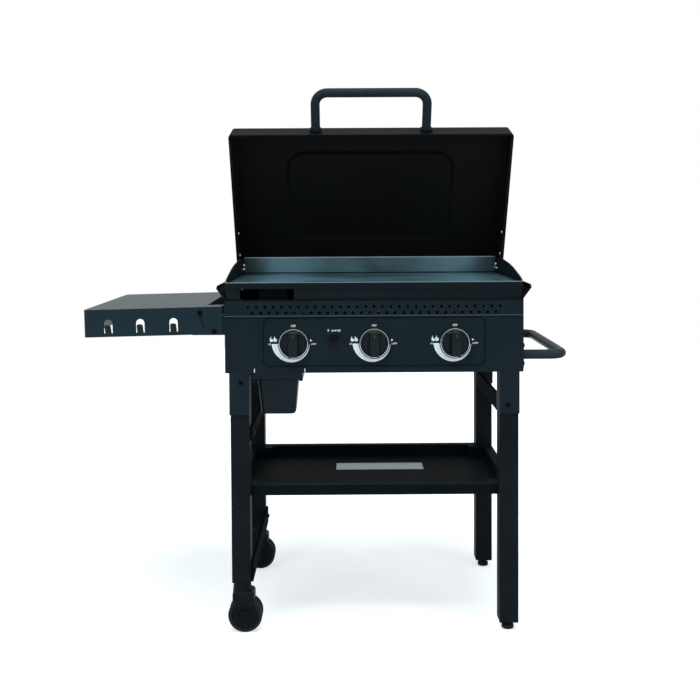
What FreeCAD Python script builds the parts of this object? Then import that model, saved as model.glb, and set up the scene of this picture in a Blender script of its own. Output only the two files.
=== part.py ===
import FreeCAD, Part
import math
import os

# Outdoor gas griddle station on a four-legged cart. Millimetres, +Z up, front faces -Y.
# While modelling, X = 0 is the middle of the body, Y = 0 the front face of the front legs, Z = 0 the ground.

# Cart
leg_span_x = 704.0            # outer face to outer face of the legs
leg_span_y = 482.0            # front face of the front legs to rear face of the rear legs
leg_side = 46.0               # square leg tube
leg_wall = 1.5
caster_rise = 124.0           # left legs stop this far above the ground
foot_rise = 20.0              # right legs stop this far above the ground
sleeve_wall = 2.5             # sleeve that holds each leg under the body
sleeve_top = 3.0
sleeve_drop = 103.0
plug_flange = 4.0             # plug in the lower end of each leg
plug_depth = 14.0

# Body
body_bottom = 642.0
body_overhang = 12.0          # body sides stand this far outside the legs
panel_height = 175.0
sheet = 1.5
side_flange = 14.0
bottom_flange = 32.0
wing_points = [(0.0, 4.0), (20.0, 31.0), (18.0, 39.0), (3.0, 45.0)]  # from the body's top corner
wing_stop = 6.0               # wings end this far in front of the lid pivot
panel_return = 12.0

# Control panel details
field_side_in = 94.0          # pressed field around the knobs, to the body sides
field_bottom = 16.0           # above the panel's lower edge
field_height = 119.0
field_corner = 15.0
field_sink = 2.0
bead_height = 136.0           # straight bead above the field
bead_depth = 0.8
bead_width = 3.0
vent_dia = 7.0
vent_pitch = 20.47
vent_side_in = 57.0           # first and last hole to the body sides
vent_upper = 161.0            # row heights above the panel's lower edge
vent_lower = 146.5
knob_side_in = 166.8          # axes of the outer knobs to the body sides
knob_height = 71.0            # knob axis above the panel's lower edge
igniter_from_knob = 97.9      # to the right of the left knob
igniter_height = 84.0

# Knobs, valves
knob_count = 3
knob_dia = 65.0
knob_skirt = 12.0
knob_grip_width = 22.0
knob_grip_length = 54.0
knob_depth = 27.0
knob_push = 4.0
knob_clear = 0.5              # left to the bezel when pushed in
bezel_dia = 72.0
bezel_bore = 56.0
bezel_thick = 2.5
stem_dia = 7.0
stem_clear = 0.1
plug_dia = 12.0
plug_length = 26.0
valve_dia = 22.0
valve_length = 54.0
valve_flange_w = 30.0
valve_flange_h = 24.0
valve_flange_t = 2.5
nozzle_dia = 10.0
nozzle_length = 14.0

# Gas train
manifold_dia = 19.0
manifold_wall = 1.5
manifold_drop = 18.0          # manifold axis below the knob axes
manifold_y = 48.0
manifold_end_in = 64.0         # closed end of the manifold to the body side
manifold_end = 12.0           # past the first valve
pipe_dia = 12.0
pipe_wall = 1.5
pipe_bend = 24.0
pipe_run = 30.0               # supply pipe leaves the manifold by this much before turning back
fitting_hex = 24.0
fitting_hex_t = 10.0
fitting_thread = 16.0
fitting_length = 22.0
fitting_bore = 8.0

# Burners
burner_dia = 25.4
burner_wall = 1.0
burner_gap = 84.0             # burner axis below the underside of the cooking plate
burner_low_run = 40.0
burner_rise_run = 80.0
burner_bend = 26.0
burner_end_in = 48.5          # burner ends to the body's back
burner_cap = 2.0
port_dia = 2.5
port_pitch = 18.0
port_count = 12
rest_depth = 52.0
rest_height = 26.0
electrode_dia = 7.0
electrode_length = 30.0
electrode_wire = 2.0
electrode_tip = 12.0
electrode_behind = 30.0       # behind the burner's rise

# Igniter
button_dia = 24.0
button_proud = 8.0
button_travel = 5.0
button_clear = 0.3
collar_dia = 29.0
collar_proud = 3.0
igniter_depth = 30.0

# Plate rails and shield
rail_rise = 39.0              # underside of the cooking plate above the body's top edge
front_rail_y = 12.0
rail_flange = 18.0
rear_rail_in = 24.0           # rear rail to the plate's back face
gap_from_side = 36.0          # cut-away in the front rail, from the body side
gap_length = 132.0
gap_bottom = 3.0
gap_top = 9.0
shield_sheet = 1.2
shield_side_in = 16.0         # heat shield to the outside of the body sides
shield_front = 72.0

# Griddle plate
plate_side_in = 3.0           # plate's side walls to the outside of the body sides
plate_front = -8.0
plate_back_in = 60.0          # plate's back face to the rear of the legs
plate_thick = 5.0
wall_thick = 3.0
rim_up = 3.0                  # front rim above the cooking face
skirt_down = 8.0
guard_profile = [(-8.0, 6.5), (31.6, 14.6), (74.4, 22.0), (121.0, 29.6), (182.0, 37.0), (273.0, 43.3)]
guard_back = 46.5             # back wall above the cooking face
drain_side_in = 116.0         # middle of the drain to the body side
drain_length = 56.0
drain_y = 27.0
drain_width = 14.0
spout_wall = 1.5
spout_drop = 12.0
plate_lift = 100.0

# Lid
lid_over = 13.0               # lid stands this far outside the plate
lid_sheet = 1.2
pivot_ahead = 32.0            # lid pivot in front of the plate's back face
pivot_up = 24.0               # above the cooking face
lid_past_front = 7.0          # lid's front edge past the plate's front
lid_past_back = 8.0           # lid's rear edge past the plate's back face
lid_rim = 17.0                # rim below the pivot when shut
lid_top = 44.0                # outside of the lid's top above the pivot when shut
lid_draft = 4.6
lid_corner = 8.0
lid_edge = 6.0
lid_hem = 8.0
lid_hem_corner = 3.0
lid_rear_hem = 6.0
lid_open = 62.5               # degrees between shut and the pose shown
lid_beyond = 30.0
emboss_side_in = 149.0        # pressed field to the lid's sides
emboss_front_in = 78.0        # to the lid's front edge
emboss_rear = 62.0            # to the pivot
emboss_corner = 50.0
emboss_depth = 3.5
arm_thick = 3.0
arm_width = 20.0
arm_length = 116.0
arm_bolts = (34.0, 103.0)
bracket_thick = 3.0
bracket_front = 22.0
bracket_rear = 24.0
bracket_low = 19.0
bracket_bolt_x = 16.0
bracket_bolt_z = 10.0
pivot_dia = 8.0
pivot_clear = 0.1
hinge_clear = 0.3
hinge_nut_t = 1.2
bolt_dia = 6.0
bolt_head = 11.0
bolt_head_t = 3.5
lid_grip_dia = 24.0
lid_grip_span = 292.0
lid_grip_reach = 104.0
lid_grip_bend = 32.0
lid_grip_height = 30.0        # above the rim
lid_collar_dia = 33.0
lid_collar_t = 5.0
tube_wall = 1.5

# Push handle on the right
push_dia = 24.0
push_height = 38.0            # above the body's lower edge
push_front = 30.0
push_back_in = 22.0           # rear end to the rear of the legs
push_reach = 106.0
push_bend = 36.0
push_plate_t = 4.0
push_plate_w = 34.0
push_plate_h = 60.0
push_bolt_in = 8.0            # from the plate's upper and lower edges

# Side shelf on the left
shelf_inner = 6.0             # gap to the body
shelf_length = 336.5
shelf_short = 2.0             # shelf shorter than the legs' span
shelf_rise = 163.0            # top face above the body's lower edge, at the body
shelf_skirt = 67.0
shelf_corner = 10.0
shelf_droop = 1.2             # degrees
shelf_sheet = 1.2
shelf_pivot_in = 25.3         # pivot from the body side
shelf_pivot_up = 102.7        # pivot above the body's lower edge
lock_out = 59.0
lock_up = 149.0
lock_slot_w = 6.0
lock_slot = (8.0, 36.0)       # run of the slot towards the body and down
shelf_notch = (47.0, 54.0, 50.0)       # reach from the body side, front and rear margin
hook_slot_w = 20.5
hook_slot_h = 33.0
hook_centres = (282.4, 204.6, 123.7)   # from the body side
hook_up = 9.0                 # slots start this far above the skirt's lower edge
tongue_w = 15.0
tongue_lean = 9.0
tongue_h = 21.0
tongue_round = 5.0
shelf_bracket_t = 3.0
shelf_bracket_gap = 0.3
shelf_tab = 24.0              # tab of each bracket along the body side
shelf_screw_head = 12.0
bracket_below = 9.0           # shelf bracket's edges from the pivot
bracket_above = 40.0
bracket_bolts = (2.0, 28.0)
rest_over = 40.0              # burner rest reaches this far past the outer burners
shelf_screw_head_t = 3.0
shelf_fold = 90.0

# Tray between the legs
tray_top = 360.0
tray_skirt = 25.0
tray_depth = 29.0
tray_rim = 22.0
tray_out = 26.0               # tray reaches this far between the front and rear leg pairs
tray_edge_in = 2.0            # tray's ends to the legs' outer faces

# Side rails
right_rail = (8.0, 537.0, 578.0)       # thickness, bottom, top
left_upper_rail = (6.0, 474.0, 506.0)
left_lower_rail = (6.0, 126.0, 172.0)
rail_inset = 4.0

# Grease cup and chute
cup_side_in = 128.0           # middle of the cup to the body side
cup_width = 100.0
cup_taper = 8.0
cup_front = 10.0
cup_length = 100.0
cup_height = 88.0
cup_wall = 1.5
cup_corner = 14.0
cup_rim = 5.0
cup_foot = 6.0                # rounding around the cup's floor
cup_travel = 120.0
holder_drop = 20.0
holder_half = 61.0
holder_sheet = 1.5
holder_lip = 9.0
holder_back = 122.0
cup_clear = 0.3
chute_half = 34.0
chute_sheet = 1.2
chute_low_depth = 27.0
chute_top_y = (14.0, 40.0)
chute_under = 3.0             # below the plate
chute_over = 4.0              # above the body's lower edge
chute_bends = (36.0, 4.0)     # below the body's top edge

# Casters on the left legs
wheel_dia = 84.0
wheel_width = 17.0
wheel_gap = 5.0               # from the middle of the hood
axle_dia = 8.0
caster_trail = 8.0
hood_half = 27.0
hood_base = 65.5
hood_top = 102.0
hood_wall = 3.2
hood_web = 3.5
hood_neck = 42.0              # shoulders up to the leg
hood_neck_low = 48.0
hood_corner = 9.0
caster_stem = 11.0
caster_stem_up = 16.0

# Feet on the right legs
pad_dia = 30.0
pad_height = 14.0
foot_stud = 10.0
foot_stud_up = 34.0
foot_travel = 8.0

# Back panel
back_vent_w = 40.0
back_vent_h = 5.0
back_vent_gap = 24.0          # between neighbours in a row
back_vent_rise = 16.0         # from row to row
back_vent_rows = 3
back_vent_low = 38.0          # lowest row above the body's lower edge
back_vent_side_in = 80.0      # rows to the body sides
back_vent_clear = 4.0         # to the inlet fitting
back_screw = 4.0
back_screw_head = 8.0
back_screw_head_t = 2.5
back_screw_in = 30.0          # from the body's upper and lower edges
back_screw_flange = 5.0       # from the flange's free edge

# Fasteners
leg_bolt = 8.0
leg_bolt_head = 11.0
leg_bolt_head_t = 2.5
leg_bolt_left_up = 23.0       # below the body's lower edge, left sleeves
leg_bolt_right_up = 81.0
leg_bolt_side = 26.0          # from the leg's outer face
cap_bolt_in = 9.0             # sleeve bolts from the bottom flange's free edge

V = FreeCAD.Vector
half_x = leg_span_x / 2 + body_overhang
plate_back = leg_span_y - plate_back_in
push_back = leg_span_y - push_back_in
shelf_depth = leg_span_y - shelf_short
cup_x = -half_x + cup_side_in
drain_x = -half_x + drain_side_in
field_half = half_x - field_side_in
y_front = -sleeve_wall
y_back = leg_span_y + sleeve_wall
y_in = y_front + sheet
burner_end = y_back - burner_end_in
rear_rail_y = plate_back - rear_rail_in
guard_run = guard_profile + [(plate_back, guard_back)]
body_top = body_bottom + panel_height
plate_under = body_top + rail_rise
plate_face = plate_under + plate_thick
pivot_y = plate_back - pivot_ahead
lid_front = pivot_y - plate_front + lid_past_front
lid_rear = pivot_ahead + lid_past_back
pivot_z = plate_face + pivot_up
wing_end = pivot_y - wing_stop
leg_out = leg_span_x / 2
leg_in = leg_out - leg_side
rear_leg = leg_span_y - leg_side
knob_z = body_bottom + knob_height
igniter_z = body_bottom + igniter_height
field_y = y_front + field_sink
plate_half = half_x - plate_side_in
knob_pitch = 2 * (half_x - knob_side_in) / (knob_count - 1)
knob_xs = [(i - (knob_count - 1) / 2) * knob_pitch for i in range(knob_count)]
igniter_x = knob_xs[0] + igniter_from_knob
vent_half_run = half_x - vent_side_in
vent_count = round(2 * vent_half_run / vent_pitch) + 1


def block(x0, x1, y0, y1, z0, z1):
    return Part.makeBox(x1 - x0, y1 - y0, z1 - z0, V(x0, y0, z0))


def rod_x(x0, x1, y, z, dia):
    return Part.makeCylinder(dia / 2, x1 - x0, V(x0, y, z), V(1, 0, 0))


def rod_y(y0, y1, x, z, dia):
    return Part.makeCylinder(dia / 2, y1 - y0, V(x, y0, z), V(0, 1, 0))


def rod_z(z0, z1, x, y, dia):
    return Part.makeCylinder(dia / 2, z1 - z0, V(x, y, z0), V(0, 0, 1))


def outline(points, place):
    corners = [place(a, b) for a, b in points]
    return Part.Face(Part.makePolygon(corners + corners[:1]))


def prism_x(points, x0, x1):
    return outline(points, lambda a, b: V(x0, a, b)).extrude(V(x1 - x0, 0, 0))


def prism_y(points, y0, y1):
    return outline(points, lambda a, b: V(a, y0, b)).extrude(V(0, y1 - y0, 0))


def prism_z(points, z0, z1):
    return outline(points, lambda a, b: V(a, b, z0)).extrude(V(0, 0, z1 - z0))


def folded(points, t):
    """Outline of a folded sheet: the line through the points and its copy t to the left of it."""
    copy = []
    for i, p in enumerate(points):
        normals = []
        for a, b in ((i - 1, i), (i, i + 1)):
            if a >= 0 and b < len(points):
                dx = points[b][0] - points[a][0]
                dy = points[b][1] - points[a][1]
                d = math.hypot(dx, dy)
                normals.append((-dy / d, dx / d))
        nx = sum(n[0] for n in normals)
        ny = sum(n[1] for n in normals)
        d = math.hypot(nx, ny)
        k = t / (d / len(normals))
        copy.append((p[0] + nx / d * k, p[1] + ny / d * k))
    return list(points) + copy[::-1]


def rounded(a0, a1, b0, b1, r, place):
    """Rounded rectangle as a wire; place turns two plane numbers into a point."""
    edges = []
    k = r * (1 - math.sqrt(0.5))
    corners = [
        ((a1 - r, b0), (a1 - k, b0 + k), (a1, b0 + r)),
        ((a1, b1 - r), (a1 - k, b1 - k), (a1 - r, b1)),
        ((a0 + r, b1), (a0 + k, b1 - k), (a0, b1 - r)),
        ((a0, b0 + r), (a0 + k, b0 + k), (a0 + r, b0)),
    ]
    for i, (p, m, q) in enumerate(corners):
        nxt = corners[(i + 1) % 4][0]
        edges.append(Part.Arc(place(*p), place(*m), place(*q)).toShape())
        edges.append(Part.LineSegment(place(*q), place(*nxt)).toShape())
    return Part.Wire(edges)


def rounded_y(x0, x1, z0, z1, r, y0, y1):
    wire = rounded(x0, x1, z0, z1, r, lambda a, b: V(a, y0, b))
    return Part.Face(wire).extrude(V(0, y1 - y0, 0))


def rounded_z(x0, x1, y0, y1, r, z0, z1):
    wire = rounded(x0, x1, y0, y1, r, lambda a, b: V(a, b, z0))
    return Part.Face(wire).extrude(V(0, 0, z1 - z0))


def bent(points, dia, bend, wall=0.0):
    """Round bar or tube along straight runs joined by tangent arcs."""
    edges = []
    start = V(*points[0])
    for i in range(1, len(points) - 1):
        p = V(*points[i])
        u = (V(*points[i - 1]) - p).normalize()
        w = (V(*points[i + 1]) - p).normalize()
        half = math.acos(max(-1.0, min(1.0, u.dot(w)))) / 2
        back = bend / math.tan(half)
        a = p + u * back
        b = p + w * back
        mid = (u + w).normalize()
        m = p + mid * (bend / math.sin(half) - bend)
        edges.append(Part.LineSegment(start, a).toShape())
        edges.append(Part.Arc(a, m, b).toShape())
        start = b
    edges.append(Part.LineSegment(start, V(*points[-1])).toShape())
    path = Part.Wire(edges)
    way = V(*points[1]) - V(*points[0])

    def sweep(d):
        ring = Part.Wire(Part.makeCircle(d / 2, V(*points[0]), way))
        return path.makePipeShell([ring], True, False)

    solid = sweep(dia)
    if wall:
        solid = solid.cut(sweep(dia - 2 * wall))
    return solid


def join(shapes):
    first = shapes[0]
    rest = shapes[1:]
    return first.fuse(rest).removeSplitter() if rest else first


def less(shape, tools):
    return shape.cut(tools) if tools else shape


def mirror(shape):
    return shape.mirror(V(0, 0, 0), V(1, 0, 0))


def group(shapes):
    solids = []
    for s in shapes:
        solids += s.Solids
    return Part.makeCompound(solids)


NODES = {}

# Legs: two stand on feet, two on casters
leg_top = body_bottom - sleeve_top
legs = {
    "front_left": (-1, 0.0, caster_rise),
    "front_right": (1, 0.0, foot_rise),
    "rear_left": (-1, rear_leg, caster_rise),
    "rear_right": (1, rear_leg, foot_rise),
}
leg_bolts = []
leg_bolt_holes = []
for side, y0, rise in legs.values():
    x = side * (leg_out - leg_bolt_side)
    up = leg_bolt_left_up if side < 0 else leg_bolt_right_up
    z = body_bottom - up
    a = y0 - sleeve_wall
    b = y0 + leg_side + sleeve_wall
    bolt = join([rod_y(a - leg_bolt_head_t, a, x, z, leg_bolt_head), rod_y(a, b, x, z, leg_bolt),
                 rod_y(b, b + leg_bolt_head_t, x, z, leg_bolt_head)])
    leg_bolts.append(bolt)
    leg_bolt_holes.append(rod_y(a - 1, b + 1, x, z, leg_bolt))


def leg_box(side, y0, grow, z0, z1):
    xs = sorted((side * (leg_in - grow), side * (leg_out + grow)))
    return block(xs[0], xs[1], y0 - grow, y0 + leg_side + grow, z0, z1)


# Tray bolts and rail bolts run along X into the legs
tray_bolt_y = (tray_rim / 2 + leg_side / 2, leg_span_y - tray_rim / 2 - leg_side / 2)
tray_bolt_z = tray_top - tray_depth / 2
pan_half = leg_in - tray_rim
cross_bolts = []
cross_holes = []


def cross_bolt(side, face, y, z, far):
    x0, x1 = sorted((side * face, side * far))
    h0, h1 = sorted((side * face, side * (face - bolt_head_t)))
    cross_bolts.append(join([rod_x(h0, h1, y, z, bolt_head), rod_x(x0, x1, y, z, bolt_dia)]))
    cross_holes.append(rod_x(x0, x1, y, z, bolt_dia))


for side in (-1, 1):
    for y in tray_bolt_y:
        cross_bolt(side, pan_half, y, tray_bolt_z, leg_in + leg_wall + bolt_dia)
for t, z0, z1 in (left_upper_rail, left_lower_rail):
    for y in (leg_side / 2, leg_span_y - leg_side / 2):
        cross_bolt(-1, leg_in - t, y, (z0 + z1) / 2, leg_in + leg_wall + bolt_dia)

plugs = []
for name, (side, y0, rise) in legs.items():
    base = rise + plug_flange
    tube = leg_box(side, y0, 0, base, leg_top).cut(leg_box(side, y0, -leg_wall, base, leg_top))
    NODES["leg_" + name] = less(tube, leg_bolt_holes + cross_holes)
    plug = leg_box(side, y0, 0, rise, base).fuse(leg_box(side, y0, -leg_wall, base, base + plug_depth))
    cx = side * (leg_out + leg_in) / 2
    cy = y0 + leg_side / 2
    bore = caster_stem + 2 * hinge_clear if side < 0 else foot_stud + 2 * hinge_clear
    plugs.append(plug.removeSplitter().cut(rod_z(rise - 1, base + plug_depth + 1, cx, cy, bore)))
NODES["leg_end_plugs"] = group(plugs)

# Sleeves: front, outer and rear walls with a top plate
sleeves = []
sleeve_low = body_bottom - sleeve_drop
cap_bolts = []
cap_holes = []
for side, y0, rise in legs.values():
    outer = leg_box(side, y0, sleeve_wall, sleeve_low, body_bottom)
    inner = leg_box(side, y0, 0, sleeve_low - 1, leg_top)
    xs = sorted((side * (leg_in - sleeve_wall - 1), side * leg_in))
    open_side = block(xs[0], xs[1], y0 - sleeve_wall - 1, y0 + leg_side + sleeve_wall + 1, sleeve_low - 1, body_bottom + 1)
    cx = side * (half_x - bottom_flange + cap_bolt_in)
    cy = y0 + leg_side / 2
    cap_holes.append(rod_z(leg_top - 1, body_bottom + sheet + 1, cx, cy, bolt_dia))
    cap_bolts.append(join([rod_z(leg_top - bolt_head_t, leg_top, cx, cy, bolt_head),
                           rod_z(leg_top, body_bottom + sheet, cx, cy, bolt_dia),
                           rod_z(body_bottom + sheet, body_bottom + sheet + bolt_head_t, cx, cy, bolt_head)]))
    sleeves.append(outer.cut([inner, open_side]))
NODES["leg_sleeves"] = group([less(s, leg_bolt_holes + cap_holes) for s in sleeves])

# Side rails
t, z0, z1 = right_rail
NODES["rail_right_upper"] = block(leg_in, leg_in + t, leg_side + sleeve_wall, rear_leg - sleeve_wall, z0, z1)
for name, (t, z0, z1) in (("rail_left_upper", left_upper_rail), ("rail_left_lower", left_lower_rail)):
    rail = block(-leg_in, -leg_in + t, rail_inset, leg_span_y - rail_inset, z0, z1)
    NODES[name] = less(rail, cross_holes)

# Tray: cross-shaped rim with a folded skirt and a sunk pan
cross_in = leg_in
cross_out = leg_out - tray_edge_in


def cross_plan(grow, z0, z1):
    long = block(-cross_out - grow, cross_out + grow, leg_side - grow, rear_leg + grow, z0, z1)
    wide = block(-cross_in - grow, cross_in + grow, leg_side - tray_out - grow, rear_leg + tray_out + grow, z0, z1)
    return join([long, wide])


tray_low = tray_top - tray_skirt
pan_low = tray_top - tray_depth
rim = cross_plan(0, tray_low, tray_top).cut(cross_plan(-sheet, tray_low - 1, tray_top - sheet))
pan = cross_plan(-tray_rim, pan_low, tray_top).fuse(rim)
pan = pan.cut(cross_plan(-tray_rim - sheet, pan_low + sheet, tray_top + 1))
NODES["storage_tray"] = less(pan.removeSplitter(), cross_holes)

# Body sides: bottom flange, wall, flared wing ahead of the lid pivot
profile_rear = [(half_x - bottom_flange, body_bottom), (half_x, body_bottom), (half_x, body_top)]
profile_wing = profile_rear[:2] + [(half_x + dx, body_top + dz) for dx, dz in wing_points]
side = prism_y(folded(profile_rear, sheet), wing_end, y_back - sheet)
side = side.fuse(prism_y(folded(profile_wing, sheet), y_in, wing_end))
flange_low = body_bottom + sheet
flange_high = body_top - sheet
side = side.fuse(block(half_x - side_flange, half_x - sheet, y_in, y_in + sheet, flange_low, flange_high))
side = side.fuse(block(half_x - side_flange, half_x - sheet, y_back - 2 * sheet, y_back - sheet, flange_low, flange_high))
side = side.removeSplitter()

# Push handle bolts and shelf bracket bolts through the sides
push_z = body_bottom + push_height
side_bolts = []
side_holes = []


def side_bolt(sign, outer, y, z):
    a = sign * (half_x - sheet)
    b = sign * outer
    x0, x1 = sorted((a, b))
    h0, h1 = sorted((b, b + sign * bolt_head_t))
    n0, n1 = sorted((a, a - sign * bolt_head_t))
    side_bolts.append(join([rod_x(x0, x1, y, z, bolt_dia), rod_x(h0, h1, y, z, bolt_head), rod_x(n0, n1, y, z, bolt_head)]))
    side_holes.append(rod_x(x0 - 0.01, x1 + 0.01, y, z, bolt_dia))


push_bolt_rise = push_plate_h / 2 - push_bolt_in
for y in (push_front, push_back):
    for dz in (-push_bolt_rise, push_bolt_rise):
        side_bolt(1, half_x + push_plate_t, y, push_z + dz)
shelf_y0 = y_front + sheet / 2
bracket_y = (shelf_y0 + shelf_sheet + shelf_bracket_gap, shelf_y0 + shelf_depth - shelf_sheet - shelf_bracket_gap)
shelf_pz = body_bottom + shelf_pivot_up
for y, s in ((bracket_y[0], 1), (bracket_y[1], -1)):
    for dz in bracket_bolts:
        side_bolt(-1, half_x + shelf_bracket_t, y + s * (shelf_bracket_t + shelf_tab) / 1.6, shelf_pz + dz)

right_side = less(side, cap_holes + side_holes)
left_side = less(mirror(side), cap_holes + side_holes)
NODES["body_side_right"] = right_side
NODES["body_side_left"] = left_side

# Control panel
panel = block(-half_x, half_x, y_front, y_in, body_bottom, body_top)
fz0 = body_bottom + field_bottom
fz1 = fz0 + field_height
panel = panel.cut(rounded_y(-field_half, field_half, fz0, fz1, field_corner, y_front - 1, y_in + 1))
cup = rounded_y(-field_half - sheet, field_half + sheet, fz0 - sheet, fz1 + sheet, field_corner + sheet, y_front, field_y + sheet)
cup = cup.cut(rounded_y(-field_half, field_half, fz0, fz1, field_corner, y_front - 1, field_y))
panel = panel.fuse(cup)
inner_x = half_x - sheet
panel = panel.fuse(block(-inner_x, inner_x, y_in, panel_return, body_top - sheet, body_top))
lip_x = half_x - bottom_flange
panel = panel.fuse(block(-lip_x, lip_x, y_in, y_in + side_flange, body_bottom, body_bottom + sheet))
panel = panel.removeSplitter()
bead_z = body_bottom + bead_height
groove = prism_x([(y_front - 0.1, bead_z), (y_front + bead_depth, bead_z + bead_width / 2), (y_front - 0.1, bead_z + bead_width)],
                 -half_x - 1, half_x + 1)
cuts = [groove]
for i in range(vent_count):
    x = -vent_half_run + i * 2 * vent_half_run / (vent_count - 1)
    cuts.append(rod_y(y_front - 1, y_in + 1, x, body_bottom + vent_upper, vent_dia))
    if i < vent_count - 1:
        x += vent_half_run / (vent_count - 1)
        cuts.append(rod_y(y_front - 1, y_in + 1, x, body_bottom + vent_lower, vent_dia))
for x in knob_xs:
    cuts.append(rod_y(field_y - 1, field_y + sheet + 1, x, knob_z, plug_dia + 1.0))
barrel_dia = button_dia + 3.4
cuts.append(rod_y(field_y - 1, field_y + sheet + 1, igniter_x, igniter_z, barrel_dia))
chute_x0 = drain_x - chute_half
chute_x1 = drain_x + chute_half
panel_hole = block(chute_x0, chute_x1, y_in, chute_low_depth + y_in + 1, body_bottom - 1, body_bottom + sheet + 1)
cuts.append(panel_hole)
NODES["control_panel"] = panel.cut(cuts)

# Knob bezels: flat bright rings on the pressed field
bezels = []
for x in knob_xs:
    ring = rod_y(field_y - bezel_thick, field_y, x, knob_z, bezel_dia)
    ring = ring.cut(rod_y(field_y - bezel_thick - 1, field_y + 1, x, knob_z, bezel_bore))
    bezels.append(ring)
NODES["knob_bezels"] = group(bezels)

# Valves: flange behind the field, body over the manifold, nozzle into the burner
valve_y0 = field_y + sheet
manifold_z = knob_z - manifold_drop
plug_y0 = valve_y0 + valve_flange_t + 6.0
plug_y1 = plug_y0 + plug_length
valve_y1 = valve_y0 + valve_length
manifold_x0 = knob_xs[0] - manifold_end
manifold_right = half_x - manifold_end_in
manifold_solid = rod_x(manifold_x0, manifold_right, manifold_y, manifold_z, manifold_dia)
valve_shapes = []
valve_bores = []
for x in knob_xs:
    flange = block(x - valve_flange_w / 2, x + valve_flange_w / 2, valve_y0, valve_y0 + valve_flange_t,
                   knob_z - valve_flange_h / 2, knob_z + valve_flange_h / 2)
    body = join([flange, rod_y(valve_y0, valve_y1, x, knob_z, valve_dia), rod_y(valve_y1, valve_y1 + nozzle_length, x, knob_z, nozzle_dia)])
    boss = rod_z(manifold_z, knob_z, x, manifold_y, nozzle_dia + 3.0)
    body = body.fuse(boss).removeSplitter()
    body = body.cut([manifold_solid,
                     rod_y(valve_y0 - 1, plug_y0, x, knob_z, stem_dia + 2 * stem_clear),
                     rod_y(plug_y0, plug_y1, x, knob_z, plug_dia + 2 * stem_clear),
                     rod_y(plug_y1, valve_y1 + nozzle_length + 1, x, knob_z, 2.0)])
    valve_shapes.append(body)
NODES["valve_bodies"] = group(valve_shapes)

# Turning plug with its stem, one for each valve
knob_y1 = field_y - bezel_thick - knob_push - knob_clear
knob_face = knob_y1 - knob_depth
stem_front = knob_face + 8.0
for i, x in enumerate(knob_xs):
    stem = rod_y(stem_front, plug_y0 + 1, x, knob_z, stem_dia)
    plug = rod_y(plug_y0 + stem_clear, plug_y1 - stem_clear, x, knob_z, plug_dia)
    NODES["valve_stem_%d" % (i + 1)] = join([plug, stem])

# Knobs: skirt, grip bar, socket over the stem; the hollow back passes over the bezel's bore
for i, x in enumerate(knob_xs):
    disc = rod_y(knob_y1 - knob_skirt, knob_y1, x, knob_z, knob_dia)
    edge = [e for e in disc.Edges if abs(e.CenterOfMass.y - (knob_y1 - knob_skirt)) < 0.01 and e.Length > knob_dia]
    disc = disc.makeFillet(3.0, edge[:1])
    bar = rounded_y(x - knob_grip_width / 2, x + knob_grip_width / 2, knob_z - knob_grip_length / 2, knob_z + knob_grip_length / 2,
                    knob_grip_width / 3, knob_face, knob_y1 - knob_skirt + 3.0)
    knob = join([disc, bar])
    hollow = rod_y(knob_y1 - knob_skirt + 3.0, knob_y1 + 1, x, knob_z, knob_dia - 6.0)
    hub = rod_y(knob_y1 - knob_skirt, knob_y1, x, knob_z, stem_dia + 6.0)
    knob = knob.cut(hollow).fuse(hub).removeSplitter()
    knob = knob.cut(rod_y(stem_front - knob_push - knob_clear, knob_y1 + 1, x, knob_z, stem_dia + 2 * stem_clear))
    NODES["knob_%d" % (i + 1)] = knob

# Igniter
barrel_back = field_y + sheet + igniter_depth
collar_y = field_y - collar_proud
housing = join([rod_y(collar_y, field_y, igniter_x, igniter_z, collar_dia),
                rod_y(field_y, barrel_back, igniter_x, igniter_z, barrel_dia),
                rod_y(field_y + sheet, field_y + sheet + 4.0, igniter_x, igniter_z, collar_dia)])
button_y = field_y - button_proud
button_back = field_y + sheet
housing = housing.cut(rod_y(collar_y - 1, button_back + button_travel + 2 * button_clear, igniter_x, igniter_z, button_dia + 2 * button_clear))
NODES["igniter_housing"] = housing
button = rod_y(button_y, button_back, igniter_x, igniter_z, button_dia)
edge = [e for e in button.Edges if abs(e.CenterOfMass.y - button_y) < 0.01 and e.Length > button_dia]
NODES["igniter_button"] = button.makeFillet(1.5, edge[:1])

# Manifold, supply pipe, inlet fitting
bore = rod_x(manifold_x0 + manifold_wall, manifold_right - manifold_wall, manifold_y, manifold_z, manifold_dia - 2 * manifold_wall)
manifold_cuts = [bore, rod_x(manifold_right - manifold_wall - 1, manifold_right + 1, manifold_y, manifold_z, pipe_dia - 2 * pipe_wall)]
for x in knob_xs:
    manifold_cuts.append(rod_z(manifold_z, knob_z, x, manifold_y, 6.0))
NODES["gas_manifold"] = manifold_solid.cut(manifold_cuts)
pipe_x = manifold_right + pipe_run
pipe_end = y_back - sheet - fitting_hex_t
pipe_points = [(manifold_right, manifold_y, manifold_z), (pipe_x, manifold_y, manifold_z), (pipe_x, pipe_end, manifold_z)]
NODES["gas_supply_pipe"] = bent(pipe_points, pipe_dia, pipe_bend, pipe_wall)


def hexagon(x, z, across, y0, y1):
    r = across / math.sqrt(3)
    return prism_y([(x + r * math.cos(math.radians(60 * k)), z + r * math.sin(math.radians(60 * k))) for k in range(6)], y0, y1)


fitting = join([hexagon(pipe_x, manifold_z, fitting_hex, y_back - sheet - fitting_hex_t, y_back - sheet),
                rod_y(y_back - sheet, y_back + fitting_length, pipe_x, manifold_z, fitting_thread),
                hexagon(pipe_x, manifold_z, fitting_hex, y_back, y_back + 5.0)])
NODES["gas_inlet_fitting"] = fitting.cut(rod_y(pipe_end - 1, y_back + fitting_length + 1, pipe_x, manifold_z, fitting_bore))

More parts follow.
